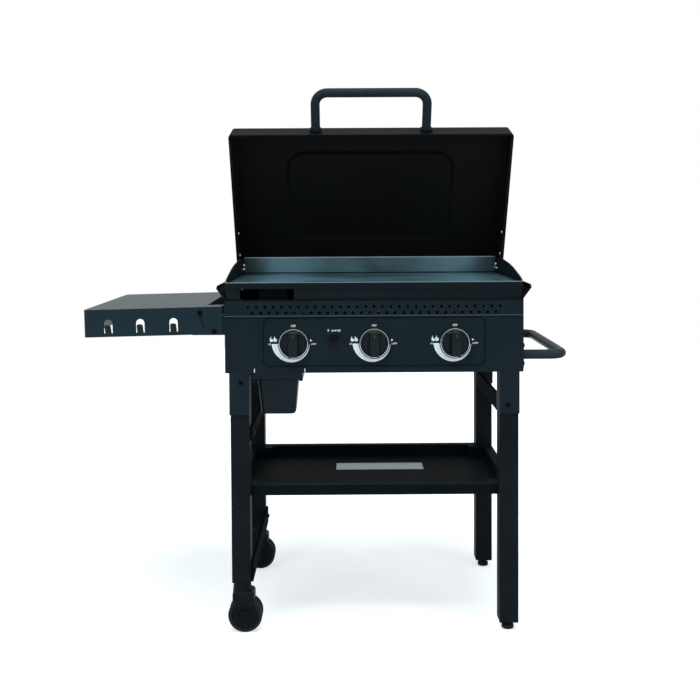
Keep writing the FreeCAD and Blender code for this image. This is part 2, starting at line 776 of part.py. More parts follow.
# Burner tubes: low inlet, double bend, ported run under the plate
burner_z = plate_under - burner_gap
burner_y0 = valve_y1 + 1.5
bend_y = burner_y0 + burner_low_run
for i, x in enumerate(knob_xs):
    path = [(x, burner_y0, knob_z), (x, bend_y, knob_z), (x, bend_y + burner_rise_run, burner_z), (x, burner_end, burner_z)]
    tube = bent(path, burner_dia, burner_bend, burner_wall)
    inlet = rod_y(burner_y0, burner_y0 + burner_cap, x, knob_z, burner_dia)
    inlet = inlet.cut(rod_y(burner_y0 - 1, burner_y0 + burner_cap + 1, x, knob_z, nozzle_dia + 2 * stem_clear))
    windows = [block(x - 4, x + 4, burner_y0 + 6, burner_y0 + 24, knob_z, knob_z + burner_dia)]
    end = rod_y(burner_end - burner_cap, burner_end, x, burner_z, burner_dia)
    ports = []
    first = burner_end - 24.0 - (port_count - 1) * port_pitch
    for k in range(port_count):
        ports.append(rod_x(x - burner_dia, x + burner_dia, first + k * port_pitch, burner_z, port_dia))
    NODES["burner_tube_%d" % (i + 1)] = join([tube, inlet, end]).cut(windows + ports)

# Rest for the burner ends on the back panel
rest_top = burner_z - burner_dia / 2
rest_half = knob_xs[-1] + rest_over
rest_y1 = y_back - sheet
rest_line = [(rest_y1, rest_top - rest_height), (rest_y1, rest_top), (rest_y1 - rest_depth, rest_top)]
NODES["burner_rest"] = prism_x(folded(rest_line, sheet), -rest_half, rest_half)

# Spark electrodes beside the burners
electrodes = []
spark_y = bend_y + burner_rise_run + electrode_behind
for x in knob_xs:
    ex = x + burner_dia / 2 + electrode_dia / 2 + 0.1
    rod = rod_y(spark_y, spark_y + electrode_length, ex, burner_z, electrode_dia)
    wire = rod_y(spark_y + electrode_length, spark_y + electrode_length + electrode_tip, ex, burner_z, electrode_wire)
    electrodes.append(join([rod, wire]))
NODES["spark_electrodes"] = group(electrodes)

# Back panel with vent slots
back = block(-half_x, half_x, y_back - sheet, y_back, body_bottom, body_top)
back_cuts = [rod_y(y_back - sheet - 1, y_back + 1, pipe_x, manifold_z, fitting_thread)]
back_pitch = back_vent_w + back_vent_gap
side_vents = int((half_x - back_vent_side_in - back_vent_w / 2) / back_pitch)
fitting_room = fitting_hex / math.sqrt(3) + back_vent_clear
for row in range(back_vent_rows):
    for k in range(-side_vents, side_vents + 1):
        x = k * back_pitch
        z = body_bottom + back_vent_low + row * back_vent_rise
        beside = abs(x - pipe_x) > back_vent_w / 2 + fitting_room
        if beside or z > manifold_z + fitting_room or z + back_vent_h < manifold_z - fitting_room:
            back_cuts.append(block(x - back_vent_w / 2, x + back_vent_w / 2, y_back - sheet - 1, y_back + 1, z, z + back_vent_h))
back_bolts = []
for s in (-1, 1):
    for z in (body_bottom + back_screw_in, body_top - back_screw_in):
        x = s * (half_x - side_flange + back_screw_flange)
        hole = rod_y(y_back - 2 * sheet, y_back + 0.01, x, z, back_screw)
        back_cuts.append(hole)
        back_bolts.append(join([rod_y(y_back - 2 * sheet, y_back, x, z, back_screw),
                                rod_y(y_back, y_back + back_screw_head_t, x, z, back_screw_head)]))
        name = "body_side_right" if s > 0 else "body_side_left"
        NODES[name] = NODES[name].cut(hole)
NODES["back_panel"] = back.cut(back_cuts)

# Heat shield resting on the side flanges
sz = body_bottom + sheet
shield_half = half_x - shield_side_in
shield = block(-shield_half, shield_half, shield_front, y_back - 3 * sheet - 2.0, sz, sz + shield_sheet)
clear = []
for z_bolt in cap_bolts:
    b = z_bolt.BoundBox
    clear.append(block(b.XMin - 2, b.XMax + 2, b.YMin - 2, b.YMax + 2, sz - 1, sz + shield_sheet + 1))
NODES["heat_shield"] = shield.cut(clear)

# Plate rails
front_line = [(y_in, body_top), (front_rail_y, body_top), (front_rail_y, plate_under), (front_rail_y + rail_flange, plate_under)]
front_line_t = folded(front_line, sheet)
front_rail = prism_x([(y_in, body_top), (front_rail_y + sheet, body_top), (front_rail_y + sheet, plate_under - sheet),
                      (front_rail_y + rail_flange, plate_under - sheet), (front_rail_y + rail_flange, plate_under),
                      (front_rail_y, plate_under), (front_rail_y, body_top + sheet), (y_in, body_top + sheet)],
                     -inner_x, inner_x)
gap_x0 = -half_x + gap_from_side
opening = rounded_y(gap_x0, gap_x0 + gap_length, body_top + gap_bottom, plate_under - gap_top, 6.0, front_rail_y - 1, front_rail_y + sheet + 1)
chute_room = block(chute_x0 - 3, chute_x1 + 3, front_rail_y + sheet, front_rail_y + rail_flange + 1, plate_under - sheet - 1, plate_under + 1)
NODES["front_plate_rail"] = front_rail.cut([opening, chute_room])
rear_rail = prism_x([(rear_rail_y, body_top - 30.0), (rear_rail_y + sheet, body_top - 30.0), (rear_rail_y + sheet, plate_under - sheet),
                     (rear_rail_y + rail_flange, plate_under - sheet), (rear_rail_y + rail_flange, plate_under),
                     (rear_rail_y, plate_under)], -inner_x, inner_x)
NODES["rear_plate_rail"] = rear_rail

# Grease chute behind the panel
c_low = body_bottom + chute_over
c_top = plate_under - chute_under
c_bend0 = body_top - chute_bends[0]
c_bend1 = body_top - chute_bends[1]
cy0 = field_y + sheet
cy1 = cy0 + chute_low_depth


def chute_outline(t):
    return [(cy0 + t, c_low - (1 if t else 0)), (cy1 - t, c_low - (1 if t else 0)), (cy1 - t, c_bend0),
            (chute_top_y[1] - t, c_bend1), (chute_top_y[1] - t, c_top + (1 if t else 0)),
            (chute_top_y[0] + t, c_top + (1 if t else 0)), (chute_top_y[0] + t, c_bend1), (cy0 + t, c_bend0)]


chute = prism_x(chute_outline(0), chute_x0, chute_x1)
chute = chute.cut(prism_x(chute_outline(chute_sheet), chute_x0 + chute_sheet, chute_x1 - chute_sheet))
NODES["grease_chute"] = chute

# Griddle plate
plate = block(-plate_half, plate_half, plate_front, plate_back, plate_under, plate_face)
front_lip = block(-plate_half, plate_half, plate_front, plate_front + wall_thick, plate_under - skirt_down, plate_face + rim_up)
guard_pts = [(plate_front, plate_under)] + [(y, plate_face + h) for y, h in guard_run] + [(plate_back, plate_under)]
guards = [prism_x(guard_pts, plate_half - wall_thick, plate_half), prism_x(guard_pts, -plate_half, -plate_half + wall_thick)]
back_wall = block(-plate_half, plate_half, plate_back - wall_thick, plate_back, plate_under, plate_face + guard_back)
spout = rounded_z(drain_x - drain_length / 2 - spout_wall, drain_x + drain_length / 2 + spout_wall, drain_y - drain_width / 2 - spout_wall,
                  drain_y + drain_width / 2 + spout_wall, 5.0, plate_under - spout_drop, plate_under)
plate = join([plate, front_lip, back_wall, spout] + guards)
drain = rounded_z(drain_x - drain_length / 2, drain_x + drain_length / 2, drain_y - drain_width / 2, drain_y + drain_width / 2, 4.0,
                  plate_under - spout_drop - 1, plate_face + 1)

# Lid hinge: bracket on the guard, pivot bolt through guard, bracket and arm
hinge_bolts = []
hinge_holes = []
brackets = []
lid_half = plate_half + lid_over
lid_lean = lid_draft / (lid_top + lid_rim)
arm_x1 = lid_half - lid_sheet
arm_x0 = arm_x1 - lid_lean * (lid_rim + arm_width / 2) - arm_thick
pivot_x1 = arm_x1 - lid_lean * (lid_rim + pivot_dia / 2) - hinge_clear
bracket_x1 = plate_half + bracket_thick
bolt_spots = ((pivot_y - bracket_bolt_x, pivot_z - bracket_bolt_z), (pivot_y + bracket_bolt_x, pivot_z - bracket_bolt_z))
for s in (-1, 1):
    def span(a, b):
        return sorted((s * a, s * b))
    x0, x1 = span(plate_half, bracket_x1)
    bracket = block(x0, x1, pivot_y - bracket_front, pivot_y + bracket_rear, pivot_z - bracket_low, pivot_z + 8.0)
    brackets.append(bracket)
    x0, x1 = span(plate_half - wall_thick - bolt_head_t, plate_half - wall_thick)
    p0, p1 = span(plate_half - wall_thick, pivot_x1)
    c0, c1 = span(bracket_x1, arm_x0 - hinge_clear)
    hinge_bolts.append(join([rod_x(x0, x1, pivot_y, pivot_z, bolt_head + 2.0), rod_x(p0, p1, pivot_y, pivot_z, pivot_dia),
                             rod_x(c0, c1, pivot_y, pivot_z, pivot_dia + 6.0)]))
    hinge_holes.append(rod_x(p0, p1, pivot_y, pivot_z, pivot_dia))
    for y, z in bolt_spots:
        q0, q1 = span(plate_half - wall_thick, bracket_x1)
        n0, n1 = span(bracket_x1, bracket_x1 + hinge_nut_t)
        hinge_bolts.append(join([rod_x(x0, x1, y, z, bolt_head), rod_x(q0, q1, y, z, bolt_dia), rod_x(n0, n1, y, z, bolt_head - 1.0)]))
        hinge_holes.append(rod_x(q0, q1, y, z, bolt_dia))
NODES["griddle_plate"] = plate.cut([drain] + hinge_holes)
NODES["hinge_brackets"] = group([less(b, hinge_holes) for b in brackets])
NODES["hinge_bolts"] = group(hinge_bolts)

# Lid, modelled shut about its pivot: a runs forward from the pivot, h up from it
rim_h = -lid_rim


def lid_solid(inset, low, high, corner):
    """Tapered block between two heights, drawn in by inset."""
    wires = []
    for h in (low, high):
        d = lid_draft * (h - rim_h) / (lid_top - rim_h)
        x = lid_half - d - inset
        y0 = pivot_y - lid_front + d + inset
        y1 = pivot_y + lid_rear - inset
        wires.append(rounded(-x, x, y0, y1, corner, lambda a, b, zz=h: V(a, b, pivot_z + zz)))
    return Part.makeLoft(wires, True, True)


lid_outer = lid_solid(0, rim_h, lid_top, lid_corner)
top_edges = [e for e in lid_outer.Edges if abs(e.CenterOfMass.z - pivot_z - lid_top) < 0.01 and e.BoundBox.ZLength < 0.01]
lid_outer = lid_outer.makeFillet(lid_edge, top_edges)
lid_inner = lid_solid(lid_sheet, rim_h - 1, lid_top - lid_sheet, lid_corner - lid_sheet)
inner_edges = [e for e in lid_inner.Edges if abs(e.CenterOfMass.z - pivot_z - lid_top + lid_sheet) < 0.01 and e.BoundBox.ZLength < 0.01]
lid_inner = lid_inner.makeFillet(lid_edge - lid_sheet, inner_edges)
shell = lid_outer.cut(lid_inner)
hem_outer = lid_solid(lid_sheet / 2, rim_h, rim_h + lid_sheet, lid_corner - lid_sheet / 2)
hem = hem_outer.cut(lid_solid(lid_hem, rim_h - 1, rim_h + lid_sheet + 1, lid_hem_corner))
shell = shell.fuse(hem)
ex = lid_half - emboss_side_in
ey0 = pivot_y - lid_front + emboss_front_in
ey1 = pivot_y - emboss_rear
press = rounded_z(-ex - lid_sheet, ex + lid_sheet, ey0 - lid_sheet, ey1 + lid_sheet, emboss_corner + lid_sheet,
                  pivot_z + lid_top - lid_sheet, pivot_z + lid_top + emboss_depth)
press_in = rounded_z(-ex, ex, ey0, ey1, emboss_corner, pivot_z + lid_top - lid_sheet - 1, pivot_z + lid_top + emboss_depth - lid_sheet)
shell = shell.fuse(press).cut(press_in)
# Cut away the rear corner: an arc about the pivot, then a slope up to the rear edge
rear_y = pivot_y + lid_rear
rear_h = lid_top - lid_sheet - lid_rear_hem
reach = math.hypot(lid_rear, rear_h)
tangent = math.atan2(rear_h, lid_rear) - math.acos(lid_rim / reach)
ty = lid_rim * math.cos(tangent)
tz = lid_rim * math.sin(tangent)
mid = (tangent - math.pi / 2) / 2
low = V(0, pivot_y, pivot_z - lid_rim)
arc_mid = V(0, pivot_y + lid_rim * math.cos(mid), pivot_z + lid_rim * math.sin(mid))
arc_end = V(0, pivot_y + ty, pivot_z + tz)
corner_a = V(0, rear_y, pivot_z + rear_h)
corner_b = V(0, rear_y + 10, pivot_z + rear_h)
corner_c = V(0, rear_y + 10, pivot_z - lid_rim - 10)
corner_d = V(0, pivot_y, pivot_z - lid_rim - 10)
edges = [Part.Arc(low, arc_mid, arc_end).toShape()]
for a, b in ((arc_end, corner_a), (corner_a, corner_b), (corner_b, corner_c), (corner_c, corner_d), (corner_d, low)):
    edges.append(Part.LineSegment(a, b).toShape())
away = Part.Face(Part.Wire(edges)).extrude(V(2 * lid_half + 20, 0, 0))
away.translate(V(-lid_half - 10, 0, 0))
rear_wall = block(-lid_half + lid_draft + lid_sheet, lid_half - lid_draft - lid_sheet, rear_y - lid_sheet - 0.01, rear_y + 1,
                  pivot_z - lid_rim - 1, pivot_z + rear_h)
hem_gone = block(-lid_half + lid_sheet + lid_draft, lid_half - lid_sheet - lid_draft, pivot_y - 6.0, rear_y + 1, pivot_z + rim_h - 1, pivot_z + rim_h + lid_sheet + 1)
shell = shell.cut([away, rear_wall, hem_gone]).removeSplitter()

arms = []
lid_bolts = []
lid_holes = []
for s in (-1, 1):
    def span(a, b):
        return sorted((s * a, s * b))
    x0, x1 = span(arm_x0, arm_x1)
    arm = block(x0, x1, pivot_y - arm_length, pivot_y, pivot_z - arm_width / 2, pivot_z + arm_width / 2)
    arm = join([arm, rod_x(x0, x1, pivot_y, pivot_z, arm_width)])
    arm = arm.cut(rod_x(x0 - 1, x1 + 1, pivot_y, pivot_z, pivot_dia + 2 * pivot_clear))
    # The lid's side leans in by its draft, so the arm is trimmed to it
    arms.append(arm.common(lid_inner))
    for a in arm_bolts:
        h0, h1 = span(arm_x0 - bolt_head_t, arm_x0)
        b0, b1 = span(arm_x0, lid_half)
        n0, n1 = span(lid_half - lid_draft / 2, lid_half + 1.0)
        y = pivot_y - a
        bolt = join([rod_x(h0, h1, y, pivot_z, bolt_head), rod_x(b0, b1, y, pivot_z, bolt_dia)])
        rivet = rod_x(n0, n1, y, pivot_z, bolt_head - 2.0).cut(lid_outer)
        lid_bolts.append(join([bolt, rivet]))
        lid_holes.append(rod_x(b0, b1, y, pivot_z, bolt_dia))
lid_shell = shell.cut(lid_holes)
lid_arms = [less(a, lid_holes) for a in arms]

# Lid handle: bent tube on two collars
grip_h = rim_h + lid_grip_height
grip_x = lid_grip_span / 2
wall_y = pivot_y - lid_front
bar_y = wall_y - lid_grip_reach
grip_z = pivot_z + grip_h
grip_pts = [(-grip_x, wall_y + 6, grip_z), (-grip_x, bar_y, grip_z), (grip_x, bar_y, grip_z), (grip_x, wall_y + 6, grip_z)]
grip = bent(grip_pts, lid_grip_dia, lid_grip_bend, tube_wall).cut(lid_outer)
collars = []
for s in (-1, 1):
    ring = rod_y(wall_y - lid_collar_t, wall_y + 6, s * grip_x, grip_z, lid_collar_dia)
    ring = ring.cut([lid_outer, rod_y(wall_y - lid_collar_t - 1, wall_y + 7, s * grip_x, grip_z, lid_grip_dia)])
    collars.append(ring)


def opened(shape):
    done = shape.copy()
    done.rotate(V(0, pivot_y, pivot_z), V(-1, 0, 0), lid_open)
    return done


NODES["lid_shell"] = opened(lid_shell)
NODES["lid_hinge_arms"] = group([opened(a) for a in lid_arms])
NODES["lid_bolts"] = group([opened(b) for b in lid_bolts])
NODES["lid_handle"] = opened(grip)
NODES["lid_handle_collars"] = group([opened(c) for c in collars])

# Push handle with its welded end plates
push_in = half_x + push_plate_t
push_x = half_x + push_reach
push_pts = [(push_in, push_front, push_z), (push_x, push_front, push_z), (push_x, push_back, push_z), (push_in, push_back, push_z)]
push = bent(push_pts, push_dia, push_bend, tube_wall)
ends = []
for y in (push_front, push_back):
    ends.append(block(half_x, push_in, y - push_plate_w / 2, y + push_plate_w / 2, push_z - push_plate_h / 2, push_z + push_plate_h / 2))
NODES["push_handle"] = less(join([push] + ends), side_holes)

# Side shelf, modelled level and then drooped about its pivot
sx1 = -half_x - shelf_inner
sx0 = sx1 - shelf_length
sz1 = body_bottom + shelf_rise
sz0 = sz1 - shelf_skirt
sy0 = shelf_y0
sy1 = shelf_y0 + shelf_depth
t = shelf_sheet
shelf = block(sx0, sx1, sy0, sy1, sz0, sz1)
corner_edges = [e for e in shelf.Edges if e.BoundBox.ZLength > 1 and abs(e.CenterOfMass.x - sx0) < 0.01]
shelf = shelf.makeFillet(shelf_corner, corner_edges)
hollow = block(sx0 + t, sx1 + 1, sy0 + t, sy1 - t, sz0 - 1, sz1 - t)
corner_edges = [e for e in hollow.Edges if e.BoundBox.ZLength > 1 and abs(e.CenterOfMass.x - sx0 - t) < 0.01]
hollow = hollow.makeFillet(shelf_corner - t, corner_edges)
shelf_px = -half_x - shelf_pivot_in
lock_x = -half_x - lock_out
lock_z = body_bottom + lock_up
n = shelf_notch
shelf_cuts = [hollow, block(-half_x - n[0], sx1 + 1, sy0 + n[1], sy1 - n[2], sz1 - t - 1, sz1 + 1)]
shelf_cuts.append(rod_y(sy0 - 1, sy1 + 1, shelf_px, shelf_pz, pivot_dia + 2 * pivot_clear))
shelf_cuts.append(rod_y(sy0 - 1, sy1 + 1, lock_x, lock_z, lock_slot_w))
low_x = lock_x + lock_slot[0]
low_z = lock_z - lock_slot[1]
run = math.hypot(*lock_slot)
nx = lock_slot[1] / run * lock_slot_w / 2
nz = lock_slot[0] / run * lock_slot_w / 2
slot_pts = [(lock_x - nx, lock_z - nz), (lock_x + nx, lock_z + nz), (low_x + nx, low_z + nz), (low_x - nx, low_z - nz)]
shelf_cuts.append(prism_y(slot_pts, sy0 - 1, sy0 + t + 1))
shelf_cuts.append(rod_y(sy0 - 1, sy0 + t + 1, low_x, low_z, lock_slot_w))
hooks = []
for away_x in hook_centres:
    hx = -half_x - away_x
    hz = sz0 + hook_up
    w = hook_slot_w / 2
    shelf_cuts.append(block(hx - w, hx + w, sy0 - 1, sy0 + t + 1, hz, hz + hook_slot_h - w))
    shelf_cuts.append(rod_y(sy0 - 1, sy0 + t + 1, hx, hz + hook_slot_h - w, hook_slot_w))
    lean = [(sy0, hz - 2.0), (sy0 + t, hz - 2.0), (sy0 + t, hz + 1.0), (sy0 + t - tongue_lean, hz + tongue_h), (sy0 - tongue_lean, hz + tongue_h)]
    tongue = prism_x(lean, hx - tongue_w / 2, hx + tongue_w / 2)
    crown = rounded_y(hx - tongue_w / 2, hx + tongue_w / 2, hz - 20.0, hz + tongue_h, tongue_round, sy0 - tongue_lean - 1, sy0 + t + 1)
    hooks.append(tongue.common(crown))
shelf = join([shelf.cut(shelf_cuts)] + hooks)


def drooped(shape):
    done = shape.copy()
    done.rotate(V(shelf_px, 0, shelf_pz), V(0, -1, 0), shelf_droop)
    return done


NODES["side_shelf"] = drooped(shelf)
locks = []
head = shelf_screw_head_t
for y, s in ((sy0, -1), (sy1, 1)):
    inner_end = y - s * (t + shelf_bracket_gap + shelf_bracket_t)
    a, b = sorted((y, y + s * head))
    c, d = sorted((inner_end, y))
    locks.append(drooped(join([rod_y(a, b, lock_x, lock_z, shelf_screw_head), rod_y(c, d, lock_x, lock_z, lock_slot_w)])))
NODES["shelf_lock_screws"] = group(locks)
lock_radius = math.hypot(lock_x - shelf_px, lock_z - shelf_pz)
bracket_r = lock_radius - lock_slot_w / 2 - 0.3
brackets = []
pivots = []
for y, s in ((bracket_y[0], 1), (bracket_y[1], -1)):
    a, b = sorted((y, y + s * shelf_bracket_t))
    web = rod_y(a, b, shelf_px, shelf_pz, 2 * bracket_r)
    keep = block(shelf_px - bracket_r, -half_x, a, b, shelf_pz - bracket_below, shelf_pz + bracket_above)
    web = web.common(keep)
    web = join([web, block(shelf_px, -half_x, a, b, shelf_pz - bracket_below, shelf_pz + bracket_above)])
    c, d = sorted((y, y + s * (shelf_bracket_t + shelf_tab)))
    tab = block(-half_x - shelf_bracket_t, -half_x, c, d, shelf_pz - bracket_below, shelf_pz + bracket_above)
    bracket = join([web, tab])
    bracket = bracket.cut([rod_y(a - 1, b + 1, shelf_px, shelf_pz, pivot_dia)])
    brackets.append(less(bracket, side_holes))
    face = sy0 if s > 0 else sy1
    gap = shelf_bracket_gap
    h0, h1 = sorted((face - s * gap, face - s * (gap + head)))
    p0, p1 = sorted((face - s * gap, y + s * shelf_bracket_t))
    n0, n1 = sorted((y + s * shelf_bracket_t, y + s * (shelf_bracket_t + 4.0)))
    pivots.append(join([rod_y(h0, h1, shelf_px, shelf_pz, shelf_screw_head), rod_y(p0, p1, shelf_px, shelf_pz, pivot_dia),
                        rod_y(n0, n1, shelf_px, shelf_pz, shelf_screw_head)]))
NODES["shelf_brackets"] = group(brackets)
NODES["shelf_pivot_screws"] = group(pivots)

# Cup holder under the panel and the cup in it
hx0 = cup_x - holder_half
hx1 = cup_x + holder_half
hz0 = body_bottom - holder_drop
hs = holder_sheet
holder_y0 = y_front + 1.0
channel = block(hx0, hx1, holder_y0, holder_back, hz0, body_bottom)
channel = channel.cut(block(hx0 + hs, hx1 - hs, holder_y0 - 1, holder_back + 1, hz0 + hs, body_bottom - hs))
channel = channel.cut(block(hx0 + holder_lip, hx1 - holder_lip, holder_y0 - 1, holder_back + 1, hz0 - 1, hz0 + hs + 1))
face_plate = block(hx0 + hs, hx1 - hs, holder_y0, holder_y0 + hs, hz0 + hs + 4.0, body_bottom - hs)
grease_hole = block(chute_x0, chute_x1, y_in, chute_low_depth + y_in + 1, body_bottom - hs - 1, body_bottom + 1)
ear = block(hx0, hx1, holder_back - 12.0, holder_back, body_bottom - hs, sz)
holder = join([channel.cut(grease_hole), face_plate, ear])
NODES["cup_holder"] = holder

cup_top = hz0 + hs + cup_clear + cup_wall
cup_low = cup_top - cup_height
ch = cup_width / 2


def cup_block(inset, z0, z1):
    wires = []
    for z in (z0, z1):
        d = cup_taper * (cup_top - z) / cup_height + inset
        wires.append(rounded(cup_x - ch + d, cup_x + ch - d, cup_front + d, cup_front + cup_length - d, cup_corner - inset,
                             lambda a, b, zz=z: V(a, b, zz)))
    return Part.makeLoft(wires, True, True)


cup_outer = cup_block(0, cup_low, cup_top)
bottom = [e for e in cup_outer.Edges if abs(e.CenterOfMass.z - cup_low) < 0.01 and e.BoundBox.ZLength < 0.01]
cup_outer = cup_outer.makeFillet(cup_foot, bottom)
cup_inner = cup_block(cup_wall, cup_low + cup_wall, cup_top + 1)
floor_edges = [e for e in cup_inner.Edges if abs(e.CenterOfMass.z - cup_low - cup_wall) < 0.01 and e.BoundBox.ZLength < 0.01]
cup_inner = cup_inner.makeFillet(cup_foot - cup_wall, floor_edges)
rim_plate = rounded_z(cup_x - ch - cup_rim, cup_x + ch + cup_rim, cup_front - cup_rim, cup_front + cup_length + cup_rim, cup_corner,
                      cup_top - cup_wall, cup_top)
NODES["grease_cup"] = cup_outer.fuse(rim_plate).removeSplitter().cut(cup_inner)

# Casters: hood and stem, axle, twin wheels
swivel_x = -(leg_out + leg_in) / 2
axle_x = swivel_x + caster_trail
axle_z = wheel_dia / 2
for name, y0 in (("front", 0.0), ("rear", rear_leg)):
    cy = y0 + leg_side / 2
    hood = block(axle_x - hood_half - 4.0, axle_x + hood_half - 4.0, cy - hood_half, cy + hood_half, hood_base, hood_top)
    tops = [e for e in hood.Edges if abs(e.CenterOfMass.z - hood_top) < 0.01]
    uprights = [e for e in hood.Edges if e.BoundBox.ZLength > 1]
    hood = hood.makeFillet(hood_corner, tops + uprights)
    room = []
    for s in (-1, 1):
        a, b = sorted((cy + s * hood_web, cy + s * (hood_half - hood_wall)))
        room.append(rod_y(a, b, axle_x, axle_z, wheel_dia + 4.0))
    web = block(axle_x - 13.0, axle_x + 13.0, cy - hood_web, cy + hood_web, axle_z, hood_base + 2.0)
    eye = rod_y(cy - hood_web, cy + hood_web, axle_x, axle_z, 26.0)
    neck_top = caster_rise - hinge_clear
    neck = Part.makeCone(hood_neck_low / 2, hood_neck / 2, neck_top - hood_top + 10.0, V(swivel_x, cy, hood_top - 10.0))
    stem = rod_z(neck_top - 1, caster_rise + caster_stem_up, swivel_x, cy, caster_stem)
    body = join([join([hood, neck, stem]).cut(room), web, eye])
    NODES["caster_hood_" + name] = body.cut(rod_y(cy - hood_half - 1, cy + hood_half + 1, axle_x, axle_z, axle_dia))
    end = wheel_gap + wheel_width - 1.0
    NODES["caster_axle_" + name] = rod_y(cy - end, cy + end, axle_x, axle_z, axle_dia)
    wheels = []
    for s in (-1, 1):
        a, b = sorted((cy + s * wheel_gap, cy + s * (wheel_gap + wheel_width)))
        wheel = rod_y(a, b, axle_x, axle_z, wheel_dia)
        wheel = wheel.makeFillet(3.0, [e for e in wheel.Edges if e.Length > wheel_dia and abs(e.BoundBox.YLength) < 0.01])
        recess = rod_y(*sorted((cy + s * (wheel_gap + wheel_width - 3.0), cy + s * (wheel_gap + wheel_width + 1.0))), axle_x, axle_z, wheel_dia - 20.0)
        hub = rod_y(*sorted((cy + s * (wheel_gap + wheel_width - 4.0), cy + s * (wheel_gap + wheel_width))), axle_x, axle_z, 24.0)
        bore = rod_y(*sorted((cy + s * (wheel_gap - 1.0), cy + s * (end + 0.3))), axle_x, axle_z, axle_dia + 2 * pivot_clear)
        wheels.append(wheel.cut(recess).fuse(hub).removeSplitter().cut(bore))
    NODES["caster_wheels_" + name] = group(wheels)

# Levelling feet
for name, y0 in (("front", 0.0), ("rear", rear_leg)):
    cx = (leg_out + leg_in) / 2
    cy = y0 + leg_side / 2
    pad = rod_z(0, pad_height, cx, cy, pad_dia)
    low_edge = [e for e in pad.Edges if e.CenterOfMass.z < 0.01 and e.Length > pad_dia]
    pad = pad.makeChamfer(1.0, low_edge)
    NODES["levelling_foot_" + name] = join([pad, rod_z(pad_height - 1, pad_height + foot_stud_up, cx, cy, foot_stud)])

NODES["frame_screws"] = group(leg_bolts + cross_bolts + cap_bolts + side_bolts + back_bolts)

# The part stands on the ground with its origin below the middle of its box
everything = Part.makeCompound(list(NODES.values()))
bounds = everything.optimalBoundingBox(False, False)
shift = V(-(bounds.XMin + bounds.XMax) / 2, -(bounds.YMin + bounds.YMax) / 2, -bounds.ZMin)
os.makedirs("parts", exist_ok=True)
for name, shape in NODES.items():
    placed = shape.copy()
    placed.translate(shift)
    placed.exportStep("parts/%s.step" % name)
print("nodes", len(NODES), "size", round(bounds.XLength, 1), round(bounds.YLength, 1), round(bounds.ZLength, 1),
      "shift", round(shift.x, 3), round(shift.y, 3), round(shift.z, 3))
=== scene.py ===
# The looks of the outdoor gas griddle station: a finish for every CAD piece, finer pieces in the place of some of them,
# printing, screw crowns and soft sheet edges, and the studio with the lens that the photograph was taken through.
import math

import bmesh
import bpy
from mathutils import Matrix, Vector


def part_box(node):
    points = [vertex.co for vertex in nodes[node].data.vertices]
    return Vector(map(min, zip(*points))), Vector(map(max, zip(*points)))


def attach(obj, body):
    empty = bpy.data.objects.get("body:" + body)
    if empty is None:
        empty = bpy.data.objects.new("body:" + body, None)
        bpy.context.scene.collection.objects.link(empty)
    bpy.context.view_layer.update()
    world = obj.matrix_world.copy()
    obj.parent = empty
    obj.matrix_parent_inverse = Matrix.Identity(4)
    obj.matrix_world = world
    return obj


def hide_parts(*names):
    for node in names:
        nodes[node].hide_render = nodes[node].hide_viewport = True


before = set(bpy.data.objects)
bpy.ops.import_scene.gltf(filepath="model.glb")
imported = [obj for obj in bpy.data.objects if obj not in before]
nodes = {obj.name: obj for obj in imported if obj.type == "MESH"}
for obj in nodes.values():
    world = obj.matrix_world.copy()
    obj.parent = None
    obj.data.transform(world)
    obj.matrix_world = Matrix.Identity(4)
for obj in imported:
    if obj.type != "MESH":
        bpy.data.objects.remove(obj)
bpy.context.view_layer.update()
scene = bpy.context.scene

# The cart's own measures start at the middle of the panel, the front face of the front legs and the ground
panel_low, panel_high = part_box("control_panel")
CENTRE_X = (panel_low[0] + panel_high[0]) / 2
FRONT_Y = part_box("leg_front_left")[0][1]


def spot(x, y, z):
    """A place on the cart given in millimetres."""
    return Vector((CENTRE_X + x / 1000, FRONT_Y + y / 1000, z / 1000))


# Materials. All patterns read object coordinates, in metres; a noise scale of 1000 / 90 makes patches of about 90 mm.

# Settings that many shader nodes share
PLUS = {"operation": "ADD"}
MINUS = {"operation": "SUBTRACT"}
TIMES = {"operation": "MULTIPLY"}
LARGER = {"operation": "MAXIMUM"}
UNSIGNED = {"operation": "ABSOLUTE"}
NEAR = {"operation": "COMPARE"}
LENGTH = {"operation": "LENGTH"}
SMOOTH = {"interpolation_type": "SMOOTHSTEP"}
COLOURS = {"data_type": "RGBA"}
# The two colour inputs of a Mix node, and its colour output
UNDER, OVER, MIXED = 6, 7, 2


def linear(code):
    """An sRGB hex colour as linear numbers."""
    parts = [int(code[i:i + 2], 16) / 255 for i in (1, 3, 5)]
    return tuple(c / 12.92 if c <= 0.04045 else ((c + 0.055) / 1.055) ** 2.4 for c in parts) + (1.0,)


def add(tree, kind, settings=None, sockets=None):
    """Adds a node with its settings and links; a socket takes a plain value, a node's first output or a named one."""
    node = tree.nodes.new(kind)
    for key, value in (settings or {}).items():
        if key == "stops":
            for stop, (at, code) in zip(node.color_ramp.elements, value):
                stop.position = at
                stop.color = linear(code)
        else:
            setattr(node, key, value)
    for key, value in (sockets or {}).items():
        if isinstance(value, bpy.types.Node):
            value = value.outputs[0]
        if isinstance(value, bpy.types.NodeSocket):
            tree.links.new(value, node.inputs[key])
        else:
            node.inputs[key].default_value = value
    return node


def start(name):
    """A new material, its empty node tree and the place on the piece that its patterns read."""
    material = bpy.data.materials.new(name)
    material.use_nodes = True
    tree = material.node_tree
    tree.nodes.clear()
    return material, tree, add(tree, "ShaderNodeTexCoord").outputs["Object"]


